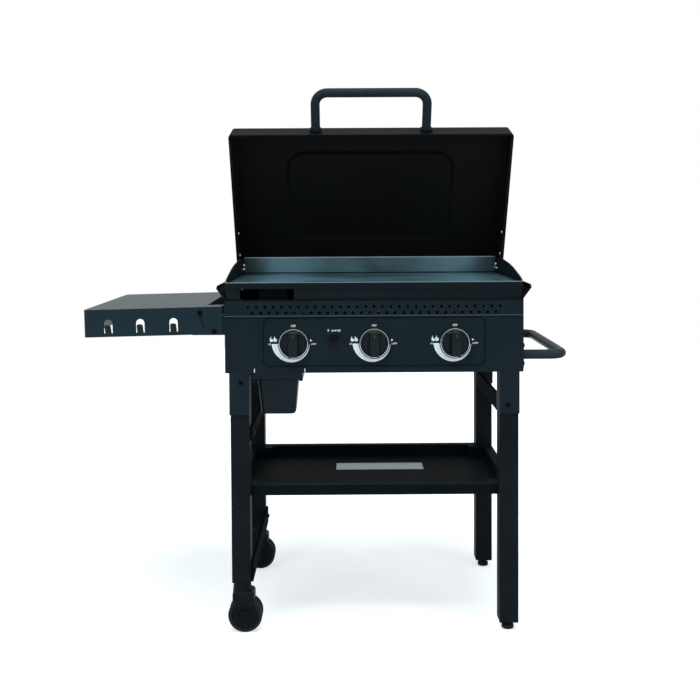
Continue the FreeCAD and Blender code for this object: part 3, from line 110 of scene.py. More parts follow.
def powder_coat(name, dark, light, rough, peel=0.10, ior=1.2):
    """Baked polyester powder on sheet steel: satin, with the faint orange peel that powder leaves as it flows out,
    about 2 mm from crest to crest, and a film that is a shade thicker here and there over a hand's breadth."""
    film_mm, patch_mm, peel_mm, spread = 90, 35, 2.2, 0.04
    material, tree, place = start(name)
    film = add(tree, "ShaderNodeTexNoise", None, {"Vector": place, "Scale": 1000 / film_mm, "Detail": 2.0})
    patch = add(tree, "ShaderNodeTexNoise", None, {"Vector": place, "Scale": 1000 / patch_mm, "Detail": 3.0})
    crests = add(tree, "ShaderNodeTexNoise", None, {"Vector": place, "Scale": 1000 / peel_mm, "Detail": 1.0})
    colour = add(tree, "ShaderNodeValToRGB", {"stops": ((0.3, dark), (0.7, light))}, {"Fac": film})
    dull = add(tree, "ShaderNodeMapRange", None, {"Value": patch, "To Min": rough - spread, "To Max": rough + spread})
    skin = add(tree, "ShaderNodeBump", None, {"Height": crests, "Distance": 0.00005, "Strength": peel})
    shader = add(tree, "ShaderNodeBsdfPrincipled", None,
                 {"Base Color": colour, "Roughness": dull, "IOR": ior, "Normal": skin})
    add(tree, "ShaderNodeOutputMaterial", None, {"Surface": shader})
    return material


# The plate's own lines: its side walls and front rim's face are painted near black, the rim's face as painted shade;
# only the pan that holds food is bare
PLATE_LOW, PLATE_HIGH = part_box("griddle_plate")
PLATE_HALF = (PLATE_HIGH[0] - PLATE_LOW[0]) / 2
WALL = 3.0 / 1000
BACK_WALL_TALL = 46.5 / 1000
COOK_FACE = PLATE_HIGH[2] - BACK_WALL_TALL
RIM_UP = 3.0 / 1000


def seasoned_steel(name):
    """Hot-rolled plate, seasoned: a blue-grey film of baked oil over mill scale, streaked along the rolling, cloudy
    where the oil pooled. It is lighter between the burners than over the middle one, as heat colour and a painted
    sheen, and darker at both ends, as painted shade from the side walls. The side walls and the front rim's face are
    painted near black, the rim's face as painted shade; the seam under the back wall is darker, and the top edges of
    back wall and rim carry painted highlights."""
    streak_mm, pool_mm, scale_mm, along_rolling = 9, 170, 1.4, 0.12
    material, tree, place = start(name)
    parts = add(tree, "ShaderNodeSeparateXYZ", None, {"Vector": place})

    # The film of oil
    rolled = add(tree, "ShaderNodeMapping", None, {"Vector": place, "Scale": (along_rolling, 1.0, 1.0)})
    streak = add(tree, "ShaderNodeTexNoise", None,
                 {"Vector": rolled, "Scale": 1000 / streak_mm, "Detail": 4.0, "Roughness": 0.6})
    pooled = add(tree, "ShaderNodeTexNoise", None,
                 {"Vector": place, "Scale": 1000 / pool_mm, "Detail": 3.0, "Roughness": 0.5})
    fine = add(tree, "ShaderNodeMapRange", None, {"Value": streak, "To Min": 0.0, "To Max": 0.35})
    broad = add(tree, "ShaderNodeMapRange", None,
                {"Value": pooled, "From Min": 0.3, "From Max": 0.7, "To Min": 0.0, "To Max": 0.65})
    both = add(tree, "ShaderNodeMath", PLUS, {0: fine, 1: broad})

    # Heat colour and a painted sheen, lighter between the burners than over the middle one, and painted shade from the
    # side walls at both ends, by the distance from the plate's middle
    across = add(tree, "ShaderNodeMath", MINUS, {0: parts.outputs["X"], 1: CENTRE_X})
    aside = add(tree, "ShaderNodeMath", UNSIGNED, {0: across})
    clear = add(tree, "ShaderNodeMapRange", SMOOTH,
                {"Value": aside, "From Min": 0.09, "From Max": 0.24, "To Min": -0.10, "To Max": 0.34})
    shaded = add(tree, "ShaderNodeMapRange", SMOOTH,
                 {"Value": aside, "From Min": 0.25, "From Max": 0.34, "To Min": 0.0, "To Max": 0.55})
    lighter = add(tree, "ShaderNodeMath", PLUS, {0: both, 1: clear})
    heated = add(tree, "ShaderNodeMath", MINUS, {0: lighter, 1: shaded})
    film = add(tree, "ShaderNodeValToRGB", {"stops": ((0.1, "#1D3035"), (0.9, "#557883"))}, {"Fac": heated})

    # Where the plate is painted near black: the side walls, the front rim's face as painted shade, and the seam under
    # the back wall
    rim = add(tree, "ShaderNodeMapRange", None,
              {"Value": parts.outputs["Y"], "From Min": PLATE_LOW[1] + 0.0012, "From Max": PLATE_LOW[1] + 0.0022,
               "To Min": 1.0, "To Max": 0.0})
    inner_face = PLATE_HALF - WALL
    sides = add(tree, "ShaderNodeMapRange", None,
                {"Value": aside, "From Min": inner_face - 0.0006, "From Max": inner_face - 0.0002,
                 "To Min": 0.0, "To Max": 1.0})
    coated = add(tree, "ShaderNodeMath", LARGER, {0: rim, 1: sides})
    level = add(tree, "ShaderNodeVectorMath", TIMES, {0: place, 1: (0.0, 1.0, 1.0)})
    away = add(tree, "ShaderNodeVectorMath", {"operation": "DISTANCE"},
               {0: level, 1: (0.0, PLATE_HIGH[1] - WALL, COOK_FACE)})
    seam = add(tree, "ShaderNodeMapRange", None,
               {"Value": away.outputs["Value"], "From Min": 0.0022, "From Max": 0.0034, "To Min": 1.0, "To Max": 0.0})
    dark = add(tree, "ShaderNodeMath", LARGER, {0: coated, 1: seam})

    # Painted highlights along the top edges, the back wall's under the black and the front rim's over it
    wall_top = PLATE_HIGH[2]
    back_edge = add(tree, "ShaderNodeMapRange", None,
                    {"Value": parts.outputs["Z"], "From Min": wall_top - 0.0032, "From Max": wall_top - 0.0024,
                     "To Min": 0.0, "To Max": 0.6})
    worn = add(tree, "ShaderNodeMix", COLOURS,
               {"Factor": back_edge, UNDER: film, OVER: linear("#A9B6BA")}).outputs[MIXED]
    black = add(tree, "ShaderNodeMix", COLOURS,
                {"Factor": dark, UNDER: worn, OVER: linear("#151B1F")}).outputs[MIXED]
    rim_top = COOK_FACE + RIM_UP
    over_rim = add(tree, "ShaderNodeMapRange", None,
                   {"Value": parts.outputs["Z"], "From Min": rim_top - 0.0022, "From Max": rim_top - 0.0014,
                    "To Min": 0.0, "To Max": 0.5})
    front_edge = add(tree, "ShaderNodeMath", TIMES, {0: over_rim, 1: rim})
    shade = add(tree, "ShaderNodeMix", COLOURS,
                {"Factor": front_edge, UNDER: black, OVER: linear("#8FA0A6")}).outputs[MIXED]

    metal = add(tree, "ShaderNodeMapRange", None, {"Value": dark, "To Min": 0.35, "To Max": 1.0})
    oiled = add(tree, "ShaderNodeMapRange", None, {"Value": both, "To Min": 0.46, "To Max": 0.32})
    matt = add(tree, "ShaderNodeMath", TIMES, {0: dark, 1: 0.6})
    dull = add(tree, "ShaderNodeMath", LARGER, {0: oiled, 1: matt})
    scale = add(tree, "ShaderNodeTexNoise", None, {"Vector": place, "Scale": 1000 / scale_mm, "Detail": 2.0})
    skin = add(tree, "ShaderNodeBump", None, {"Height": scale, "Distance": 0.00003, "Strength": 0.12})
    shader = add(tree, "ShaderNodeBsdfPrincipled", None,
                 {"Base Color": shade, "Metallic": metal, "Roughness": dull, "Normal": skin})
    add(tree, "ShaderNodeOutputMaterial", None, {"Surface": shader})
    return material


def pressed_paint(name, dark, light, rough, ior, grain_mm, middle_of, turn, half, corner, slope, depth, thinned,
                  faded=None, bead=None):
    """Paint on a sheet with a field pressed into it: fine-grained and satin or matt, over the soft slope round the
    field. A painted shade line darkens the edge of the pressing, and a bead along the sheet gets a painted highlight
    over a painted shadow.

    The field lies round middle_of, turned about the X axis by turn, and half is its half width and half length, all in
    metres. Its corner, slope and depth are millimetres, and the argument after depth is how dark the painted shade
    along its edge gets. faded gives the heights between which that painted shade comes in, and how far the sheet's
    folds, which get a painted shadow line too, lie from the field's middle. bead is the bead's height."""
    film_mm, spread = 120, 0.05
    material, tree, place = start(name)
    film = add(tree, "ShaderNodeTexNoise", None, {"Vector": place, "Scale": 1000 / film_mm, "Detail": 2.0})
    grain = add(tree, "ShaderNodeTexNoise", None, {"Vector": place, "Scale": 1000 / grain_mm, "Detail": 1.0})
    colour = add(tree, "ShaderNodeValToRGB", {"stops": ((0.3, dark), (0.7, light))}, {"Fac": film})

    # How far a place lies outside the inner rectangle from whose corners the field's round corners are drawn
    moved = add(tree, "ShaderNodeVectorMath", MINUS, {0: place, 1: middle_of})
    laid = add(tree, "ShaderNodeVectorRotate", {"rotation_type": "X_AXIS"}, {"Vector": moved, "Angle": turn})
    flat = add(tree, "ShaderNodeVectorMath", TIMES, {0: laid, 1: (1.0, 1.0, 0.0)})
    folded = add(tree, "ShaderNodeVectorMath", UNSIGNED, {0: flat})
    inside = (half[0] - corner / 1000, half[1] - corner / 1000, 0.0)
    past = add(tree, "ShaderNodeVectorMath", MINUS, {0: folded, 1: inside})
    kept = add(tree, "ShaderNodeVectorMath", LARGER, {0: past, 1: (0.0, 0.0, 0.0)})
    away = add(tree, "ShaderNodeVectorMath", LENGTH, {0: kept}).outputs["Value"]

    # The slope, and the painted shade line along it
    rise = add(tree, "ShaderNodeMapRange", SMOOTH,
               {"Value": away, "From Min": (corner - slope) / 1000, "From Max": (corner + slope) / 1000,
                "To Min": 0.0, "To Max": 1.0})
    beyond = add(tree, "ShaderNodeMath", MINUS, {0: away, 1: corner / 1000})
    off_edge = add(tree, "ShaderNodeMath", UNSIGNED, {0: beyond})
    thin = add(tree, "ShaderNodeMapRange", SMOOTH,
               {"Value": off_edge, "From Min": 0.0, "From Max": slope / 1000, "To Min": thinned, "To Max": 0.0})
    up = add(tree, "ShaderNodeSeparateXYZ", None, {"Vector": place}).outputs["Z"]
    # A painted shadow line along the sheet's folds, and all painted shade lines shown only between the heights in faded
    if faded:
        low, high, fold = faded
        seen = add(tree, "ShaderNodeMapRange", SMOOTH, {"Value": up, "From Min": low, "From Max": high})
        along = add(tree, "ShaderNodeSeparateXYZ", None, {"Vector": folded}).outputs["Y"]
        past_fold = add(tree, "ShaderNodeMath", MINUS, {0: along, 1: fold})
        off_fold = add(tree, "ShaderNodeMath", UNSIGNED, {0: past_fold})
        folds = add(tree, "ShaderNodeMapRange", SMOOTH,
                    {"Value": off_fold, "From Min": 0.001, "From Max": slope / 1000, "To Min": thinned, "To Max": 0.0})
        lines = add(tree, "ShaderNodeMath", LARGER, {0: thin, 1: folds})
        thin = add(tree, "ShaderNodeMath", TIMES, {0: lines, 1: seen})
    # The bead: a painted shadow just under it and a painted highlight above it
    if bead:
        dark_down, dark_half, dark_share = 0.0006, 0.0012, 0.75
        bright_up, bright_half, bright_share = 0.0030, 0.0010, 0.30
        below = add(tree, "ShaderNodeMath", NEAR, {0: up, 1: bead - dark_down, 2: dark_half})
        above = add(tree, "ShaderNodeMath", NEAR, {0: up, 1: bead + bright_up, 2: bright_half})
        shadow = add(tree, "ShaderNodeMath", TIMES, {0: below, 1: dark_share})
        thin = add(tree, "ShaderNodeMath", LARGER, {0: thin, 1: shadow})
        lit = add(tree, "ShaderNodeMath", TIMES, {0: above, 1: bright_share})
        colour = add(tree, "ShaderNodeMix", COLOURS,
                     {"Factor": lit, UNDER: colour, OVER: linear("#7B8D94")}).outputs[MIXED]

    shade = add(tree, "ShaderNodeMix", COLOURS,
                {"Factor": thin, UNDER: colour, OVER: linear("#020304")}).outputs[MIXED]
    dull = add(tree, "ShaderNodeMapRange", None, {"Value": film, "To Min": rough - spread, "To Max": rough + spread})
    pressed = add(tree, "ShaderNodeBump", None, {"Height": rise, "Distance": depth / 1000, "Strength": 1.0})
    skin = add(tree, "ShaderNodeBump", None,
               {"Height": grain, "Distance": 0.00005, "Strength": 0.12, "Normal": pressed})
    shader = add(tree, "ShaderNodeBsdfPrincipled", None,
                 {"Base Color": shade, "Roughness": dull, "IOR": ior, "Normal": skin})
    add(tree, "ShaderNodeOutputMaterial", None, {"Surface": shader})
    return material


def plated(name, colour, rough, grain_mm=0.8, bump=0.05):
    """Plated, foil or drawn metal: a bright skin with fine die lines, a touch duller where it was handled."""
    handled_mm, polished, smeared = 14, 0.03, 0.05
    material, tree, place = start(name)
    lines = add(tree, "ShaderNodeTexNoise", None, {"Vector": place, "Scale": 1000 / grain_mm, "Detail": 2.0})
    handled = add(tree, "ShaderNodeTexNoise", None, {"Vector": place, "Scale": 1000 / handled_mm, "Detail": 2.0})
    dull = add(tree, "ShaderNodeMapRange", None,
               {"Value": handled, "To Min": rough - polished, "To Max": rough + smeared})
    skin = add(tree, "ShaderNodeBump", None, {"Height": lines, "Distance": 0.00002, "Strength": bump})
    shader = add(tree, "ShaderNodeBsdfPrincipled", None,
                 {"Base Color": linear(colour), "Metallic": 1.0, "Roughness": dull, "Normal": skin})
    add(tree, "ShaderNodeOutputMaterial", None, {"Surface": shader})
    return material


def moulding(name, dark, light, rough, bump, ior, grain_mm=0.9):
    """Injection-moulded plastic or rubber, or a glaze, with the fine grain of its mould."""
    flow_mm, spread = 30, 0.05
    material, tree, place = start(name)
    grain = add(tree, "ShaderNodeTexNoise", None, {"Vector": place, "Scale": 1000 / grain_mm, "Detail": 2.0})
    flow = add(tree, "ShaderNodeTexNoise", None, {"Vector": place, "Scale": 1000 / flow_mm, "Detail": 2.0})
    colour = add(tree, "ShaderNodeValToRGB", {"stops": ((0.3, dark), (0.7, light))}, {"Fac": flow})
    dull = add(tree, "ShaderNodeMapRange", None, {"Value": grain, "To Min": rough - spread, "To Max": rough + spread})
    skin = add(tree, "ShaderNodeBump", None, {"Height": grain, "Distance": 0.00004, "Strength": bump})
    shader = add(tree, "ShaderNodeBsdfPrincipled", None,
                 {"Base Color": colour, "Roughness": dull, "IOR": ior, "Normal": skin})
    add(tree, "ShaderNodeOutputMaterial", None, {"Surface": shader})
    return material


def printed(name, colour, thin):
    """Screen-printed ink: matt, a little uneven in cover over a few millimetres."""
    cover_mm = 3
    material, tree, place = start(name)
    cover = add(tree, "ShaderNodeTexNoise", None, {"Vector": place, "Scale": 1000 / cover_mm, "Detail": 2.0})
    shade = add(tree, "ShaderNodeValToRGB", {"stops": ((0.3, thin), (0.7, colour))}, {"Fac": cover})
    dull = add(tree, "ShaderNodeMapRange", None, {"Value": cover, "To Min": 0.5, "To Max": 0.6})
    shader = add(tree, "ShaderNodeBsdfPrincipled", None, {"Base Color": shade, "Roughness": dull, "IOR": 1.5})
    add(tree, "ShaderNodeOutputMaterial", None, {"Surface": shader})
    return material


# Coats on sheets and tubes; a low IOR keeps the studio's glare off pieces that look plain in the photograph
coat = powder_coat("satin_powder_coat", "#08151A", "#0B191E", 0.38)
shelf_coat = powder_coat("shelf_satin_powder_coat", "#19262D", "#1D2C33", 0.40, ior=1.16)
leg_coat = powder_coat("leg_powder_coat", "#17191D", "#1C1E22", 0.50, ior=1.07)
sleeve_coat = powder_coat("sleeve_powder_coat", "#1C2329", "#20282E", 0.46, ior=1.07)
rail_coat = powder_coat("rail_powder_coat", "#080E12", "#0B1216", 0.70, ior=1.03)
tray_coat = powder_coat("matt_powder_coat", "#0B1215", "#0E161A", 0.60, 0.12, 1.07)

# The lid stands open about its pivot, and its pressed field starts and ends at these distances from there. Its upper
# half catches the light, so the painted shade lines round the field and the painted shadow along the hem show only
# there.
LID_ANGLE = math.radians(62.5)
LID_PIVOT_Y, LID_PIVOT_Z = 390.0, 885.0
LID_FIELD_FROM, LID_FIELD_TO = 62.0, 327.0
LID_FIELD_HALF_WIDE = 0.225
LID_LINES_FROM, LID_LINES_FULL = 1.09, 1.135
LID_HEM = 0.2030
out_along = (LID_FIELD_FROM + LID_FIELD_TO) / 2
lid_middle = spot(0, LID_PIVOT_Y - out_along * math.cos(LID_ANGLE), LID_PIVOT_Z + out_along * math.sin(LID_ANGLE))
lid_coat = pressed_paint("heat_resistant_black_coat", "#0C0C0D", "#101011", 0.55, 1.13, grain_mm=1.6,
                         middle_of=lid_middle, turn=LID_ANGLE,
                         half=(LID_FIELD_HALF_WIDE, (LID_FIELD_TO - LID_FIELD_FROM) / 2000),
                         corner=50.0, slope=9.0, depth=3.5, thinned=0.95,
                         faded=(LID_LINES_FROM, LID_LINES_FULL, LID_HEM))

# The panel's field ends this far from each side, and lies between these heights over the lower edge, under the bead
PANEL_FIELD_ASIDE = 0.094
PANEL_FIELD_LOW, PANEL_FIELD_HIGH = 0.016, 0.135
PANEL_BEAD_UP = 0.136
panel_half = (panel_high[0] - panel_low[0]) / 2
panel_middle = (CENTRE_X, panel_low[1], panel_low[2] + (PANEL_FIELD_LOW + PANEL_FIELD_HIGH) / 2)
panel_coat = pressed_paint("panel_satin_powder_coat", "#162024", "#1A2428", 0.38, 1.10, grain_mm=2.2,
                           middle_of=panel_middle, turn=math.pi / 2,
                           half=(panel_half - PANEL_FIELD_ASIDE, (PANEL_FIELD_HIGH - PANEL_FIELD_LOW) / 2),
                           corner=15.0, slope=3.0, depth=0.6, thinned=0.55, bead=panel_low[2] + PANEL_BEAD_UP)

tube_coat = powder_coat("tube_powder_coat", "#292F33", "#2E3539", 0.36, 0.08, 1.08)
grip_coat = powder_coat("grip_powder_coat", "#22282B", "#272E31", 0.32, 0.08, 1.08)
# Painted shade: the pieces inside the cooktop get this near-black copy of the coat
inner_coat = powder_coat("inner_coat_darkened_as_shade", "#04080A", "#060A0C", 0.60, ior=1.1)
plate_steel = seasoned_steel("seasoned_rolled_steel")
chrome = plated("chromed_zinc", "#C6CFD2", 0.12, 1.2, 0.02)
zinc = plated("zinc_plated_steel", "#B9BCBE", 0.30)
bare_steel = plated("pickled_sheet_steel", "#8F9497", 0.38)
brass = plated("machined_brass", "#B99555", 0.28)
black_oxide = plated("black_oxide_steel", "#0F1113", 0.40)
label_foil = plated("blank_foil_label", "#8B979C", 0.45, 2.0, 0.04)
knob_plastic = moulding("satin_black_nylon", "#0A1518", "#0E191C", 0.32, 0.12, 1.22)
button_plastic = moulding("matt_black_nylon", "#050708", "#070A0B", 0.40, 0.12, 1.15)
collar_plastic = moulding("gloss_black_nylon", "#0B1012", "#0F1517", 0.20, 0.05, 1.32)
abs_black = moulding("grained_black_abs", "#0B0F12", "#0F1316", 0.50, 0.15, 1.15)
wheel_core = moulding("black_polypropylene", "#121315", "#16181A", 0.60, 0.15, 1.12)
rubber = moulding("grey_black_tread_rubber", "#1E2023", "#232529", 0.60, 0.25, 1.15, 1.4)
ceramic = moulding("glazed_alumina", "#D9D6CC", "#E6E3DA", 0.20, 0.02, 1.6, 2.0)
white_ink = printed("white_screen_ink", "#F2F4F4", "#D8DBDC")
worn_ink = printed("grey_pad_print", "#394145", "#2E363A")

# The finish of each CAD piece by the start of its name. The first start that fits counts; the rest has the body's coat.
FINISHES = (
    (plate_steel, ("griddle_plate",)),
    (panel_coat, ("control_panel",)),
    (lid_coat, ("lid_shell",)),
    (shelf_coat, ("side_shelf",)),
    (sleeve_coat, ("leg_sleeves",)),
    (leg_coat, ("leg_front", "leg_rear")),
    (rail_coat, ("rail_",)),
    (tray_coat, ("storage_tray",)),
    (tube_coat, ("push_handle",)),
    (abs_black, ("leg_end_plugs", "lid_handle_collars", "caster_hood", "levelling_foot")),
    (grip_coat, ("lid_handle",)),
    (inner_coat, ("heat_shield", "burner_rest", "grease_chute")),
    (chrome, ("knob_bezels",)),
    (knob_plastic, ("knob_",)),
    (collar_plastic, ("igniter_housing",)),
    (button_plastic, ("igniter_button",)),
    (brass, ("valve_", "gas_inlet_fitting")),
    (bare_steel, ("gas_manifold", "gas_supply_pipe", "burner_tube", "hinge_brackets")),
    (zinc, ("hinge_bolts", "lid_bolts")),
    (black_oxide, ("frame_screws", "shelf_pivot_screws", "shelf_lock_screws", "caster_axle")),
    (ceramic, ("spark_electrodes",)),
    (rubber, ("caster_wheels",)),
)
for name, node in nodes.items():
    finish = next((finish for finish, starts in FINISHES if name.startswith(starts)), coat)
    node.data.materials.clear()
    node.data.materials.append(finish)


# Making pieces

FRONT = Vector((0.0, -1.0, 0.0))
SMOOTH_BELOW = math.radians(32.0)


def mesh_of(name, form):
    """The form as a mesh; the form itself is given up."""
    mesh = bpy.data.meshes.new(name)
    form.to_mesh(mesh)
    form.free()
    return mesh


def put(name, data):
    """A new object in the scene that shows this mesh, lamp, text or lens."""
    obj = bpy.data.objects.new(name, data)
    scene.collection.objects.link(obj)
    return obj


def hang(name, form, body, materials, stands_for=()):
    """Closes the form, turns its faces outwards and hangs it on the body it moves with."""
    bmesh.ops.remove_doubles(form, verts=form.verts, dist=1e-6)
    bmesh.ops.dissolve_degenerate(form, edges=form.edges, dist=1e-7)
    bmesh.ops.recalc_face_normals(form, faces=form.faces)
    mesh = mesh_of(name, form)
    obj = put(name, mesh)
    for material in materials:
        mesh.materials.append(material)
    for face in mesh.polygons:
        face.use_smooth = True
    mesh.set_sharp_from_angle(angle=SMOOTH_BELOW)
    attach(obj, body)
    if stands_for:
        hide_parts(*stands_for)


def only(kind, geom):
    """The vertices, or the edges, among what a bmesh operator made."""
    return [g for g in geom if isinstance(g, kind)]


def turned(form, outline, centre, axis, steps, paint=0):
    """Turns an outline of (radius, height) millimetres about an axis through centre."""
    axis = Vector(axis)
    side = axis.orthogonal().normalized()
    corners = [form.verts.new(centre + side * (r / 1000) + axis * (h / 1000)) for r, h in outline]
    edges = [form.edges.new(pair) for pair in zip(corners, corners[1:])]
    before = set(form.faces)
    bmesh.ops.spin(form, geom=corners + edges, cent=centre, axis=axis, angle=2 * math.pi, steps=steps, use_merge=True)
    for face in set(form.faces) - before:
        face.material_index = paint


def block(form, low, high, soft=0.0, steps=1, turn=None, paint=0):
    """A block between two corners, its edges rounded by soft millimetres."""
    low, high = Vector(low), Vector(high)
    before = set(form.faces)
    made = bmesh.ops.create_cube(form, size=1.0)["verts"]
    bmesh.ops.scale(form, vec=high - low, verts=made)
    if soft:
        edges = list({e for v in made for e in v.link_edges})
        bmesh.ops.bevel(form, geom=edges, offset=soft / 1000, segments=steps, affect="EDGES", profile=0.5, material=-1)
    faces = set(form.faces) - before
    made = list({v for f in faces for v in f.verts})
    if turn:
        bmesh.ops.transform(form, matrix=turn, verts=made)
    bmesh.ops.translate(form, vec=(low + high) / 2, verts=made)
    for face in faces:
        face.material_index = paint


def middle(name):
    """The middle of a CAD piece's box."""
    low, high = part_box(name)
    return (low + high) / 2


def rear_face(name):
    """The middle of the rear face of a CAD piece's box, and how many millimetres deep the box is."""
    low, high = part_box(name)
    return Vector(((low[0] + high[0]) / 2, high[1], (low[2] + high[2]) / 2)), (high[1] - low[1]) * 1000


# Knobs: a dished skirt, a tall grip across it and a worn pointer line at the grip's top

KNOB_RADIUS = 32.5
SKIRT_DEEP = 12.0
GRIP_LONG = 60.0
GRIP_WIDE = 22.0
GRIP_SUNK = 5.0
GRIP_SOFT = 2.6
POINTER_HALF_WIDE = 0.9
POINTER_HALF_LONG = 3.6
POINTER_DOWN = 9.0
POINTER_BACK = 0.6
POINTER_PROUD = 0.1
SKIRT = [
    (0, 0), (KNOB_RADIUS - 0.6, 0), (KNOB_RADIUS, 0.8), (KNOB_RADIUS, SKIRT_DEEP - 3.2),
    (KNOB_RADIUS - 0.8, SKIRT_DEEP - 1.2), (KNOB_RADIUS - 2.4, SKIRT_DEEP), (KNOB_RADIUS - 3.6, SKIRT_DEEP),
    (KNOB_RADIUS - 5.0, SKIRT_DEEP - 1.6), (KNOB_RADIUS - 12.0, SKIRT_DEEP - 3.2), (0, SKIRT_DEEP - 3.6),
]
for number in (1, 2, 3):
    name = f"knob_{number}"
    centre, deep = rear_face(name)
    form = bmesh.new()
    turned(form, SKIRT, centre, FRONT, 64)
    half = Vector((GRIP_WIDE / 2000, 0, GRIP_LONG / 2000))
    back = centre + FRONT * ((SKIRT_DEEP - GRIP_SUNK) / 1000)
    face = centre + FRONT * (deep / 1000)
    block(form, (back.x - half.x, face.y, back.z - half.z), (back.x + half.x, back.y, back.z + half.z), GRIP_SOFT, 4)
    mark = Vector((POINTER_HALF_WIDE / 1000, 0, POINTER_HALF_LONG / 1000))
    top = face + Vector((0, 0, (GRIP_LONG / 2 - POINTER_DOWN) / 1000))
    block(form, (top.x - mark.x, face.y - POINTER_PROUD / 1000, top.z - mark.z),
          (top.x + mark.x, face.y + POINTER_BACK / 1000, top.z + mark.z), paint=1)
    hang(f"knob_dial_{number}", form, name, [knob_plastic, worn_ink], (name,))

# Bright rings that the knobs sit in
RING = [(36.0, 0), (36.0, 1.4), (35.4, 2.3), (34.6, 2.5), (33.6, 2.2), (32.2, 1.0), (28.2, 0.8), (28.0, 0), (36.0, 0)]
form = bmesh.new()
ring_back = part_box("knob_bezels")[1][1]
for number in (1, 2, 3):
    at = middle(f"knob_{number}")
    turned(form, RING, Vector((at.x, ring_back, at.z)), FRONT, 72)
hang("knob_bright_rings", form, "cart", [chrome], ("knob_bezels",))


# Igniter button: a cap with a soft edge and a shallow thumb dish
low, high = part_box("igniter_button")
cap, deep = rear_face("igniter_button")
wide = (high[0] - low[0]) * 500
form = bmesh.new()
turned(form, [(0, 0), (wide, 0), (wide, deep - 2.6), (wide - 0.3, deep - 1.5), (wide - 1.1, deep - 0.6),
              (wide - 2.4, deep), (wide - 3.4, deep - 0.1), (wide - 6.0, deep - 0.7), (0, deep - 1.1)], cap, FRONT, 48)
hang("igniter_cap", form, "igniter", [button_plastic], ("igniter_button",))


# Casters: two treaded wheels with a spoked core under each moulded hood

WHEEL_WIDE = 17.0
SPOKES = 6
SPOKE_TURN = 0.26
SPOKE_OUT = Vector((0.0215, 0, 0))
SPOKE_DEEP = 0.0138
SPOKE_HALF = Vector((0.0078, 0.0012, 0.0013))
for place in ("front", "rear"):
    low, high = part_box(f"caster_wheels_{place}")
    hub = (low + high) / 2
    rim = (high[2] - low[2]) * 500
    half = (high[1] - low[1]) * 500
    tread = [(rim - 8.2, 0), (rim - 3, 0), (rim - 0.6, 1.6), (rim, 3.6), (rim, 7.2), (rim - 1.0, 7.9), (rim - 1.0, 9.1),
             (rim, 9.8), (rim, 13.4), (rim - 0.6, 15.4), (rim - 3, WHEEL_WIDE), (rim - 8.2, WHEEL_WIDE), (rim - 8.2, 0)]
    core = [(4.2, 0), (rim - 8.3, 0), (rim - 8.3, 16.6), (rim - 9.4, 16.2), (rim - 10.2, 14.4), (13.6, 13.2),
            (12.4, 14.4), (11.6, 16.4), (10.4, WHEEL_WIDE), (5.6, WHEEL_WIDE), (4.2, 16.0), (4.2, 0)]
    form = bmesh.new()
    for side in (-1, 1):
        axis = Vector((0, side, 0))
        inner = hub + axis * (half - WHEEL_WIDE) / 1000
        turned(form, tread, inner, axis, 56)
        turned(form, core, inner, axis, 56, 1)
        for spoke in range(SPOKES):
            about = Matrix.Rotation(spoke * 2 * math.pi / SPOKES + SPOKE_TURN, 4, "Y")
            at = inner + axis * SPOKE_DEEP + about @ SPOKE_OUT
            block(form, at - SPOKE_HALF, at + SPOKE_HALF, 0.5, 2, about, 1)
    hang(f"caster_treads_{place}", form, f"wheels_{place}", [rubber, wheel_core], (f"caster_wheels_{place}",))

# Levelling feet: a rubber pad with a hex collar and its threaded stud
THREAD_FROM = 18.0
THREAD_STEP = 0.75
STUD_RADIUS = 4.5
UP = (0, 0, 1)
PAD = [(0, 0), (13.2, 0), (14.6, 0.8), (15.0, 2.4), (15.0, 7.6), (14.2, 9.6), (10.8, 11.6), (8.6, 12.4), (0, 12.4)]
HEX = [(0, 12.0), (8.6, 12.0), (9.2, 12.6), (9.2, 17.4), (8.6, THREAD_FROM), (5.0, THREAD_FROM)]
for place in ("front", "rear"):
    low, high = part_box(f"levelling_foot_{place}")
    base = Vector(((low[0] + high[0]) / 2, (low[1] + high[1]) / 2, low[2]))
    tall = (high[2] - low[2]) * 1000
    form = bmesh.new()
    turned(form, PAD, base, UP, 40)
    turned(form, HEX, base, UP, 6, 1)
    turns = int((tall - THREAD_FROM - 0.8) / THREAD_STEP)
    threads = [(STUD_RADIUS + 0.5 * (turn % 2), THREAD_FROM + turn * THREAD_STEP) for turn in range(turns)]
    stud = [(0, 17.0), (STUD_RADIUS, 17.0)] + threads + [(4.2, tall), (0, tall)]
    turned(form, stud, base, UP, 24, 1)
    hang(f"foot_pad_{place}", form, f"foot_{place}", [rubber, black_oxide], (f"levelling_foot_{place}",))


# Printing on the panel and the blank foil label, in millimetres

PRINT_LIFT = 0.2
FIELD_Y = -0.5 - PRINT_LIFT
SHEET_Y = -2.5 - PRINT_LIFT
# In metres: the ink's thickness in marks and in letters, and how far it spreads beyond a letter's outline
INK_THICK = 0.00005
LETTER_HALF_THICK = 0.00003
LETTER_SPREAD = 0.00012
# A capital's height as a share of the font's size
CAPITAL_SHARE = 0.70


def lettering(name, words, x, z, tall, y):
    """Generic words, laid flat on the panel and made a mesh before they are placed."""
    text = bpy.data.curves.new(name, "FONT")
    text.body = words
    text.size = tall / 1000 / CAPITAL_SHARE
    text.align_x = "CENTER"
    text.align_y = "CENTER"
    text.offset = LETTER_SPREAD
    text.extrude = LETTER_HALF_THICK
    text.resolution_u = 2
    holder = put(name + "_text", text)
    bpy.context.view_layer.update()
    mesh = bpy.data.meshes.new_from_object(holder)
    bpy.data.objects.remove(holder)
    form = bmesh.new()
    form.from_mesh(mesh)
    bpy.data.meshes.remove(mesh)
    upright = Matrix.Translation(spot(x, y, z)) @ Matrix.Rotation(math.pi / 2, 4, "X")
    bmesh.ops.transform(form, matrix=upright, verts=form.verts)
    hang(name, form, "cart", [white_ink])


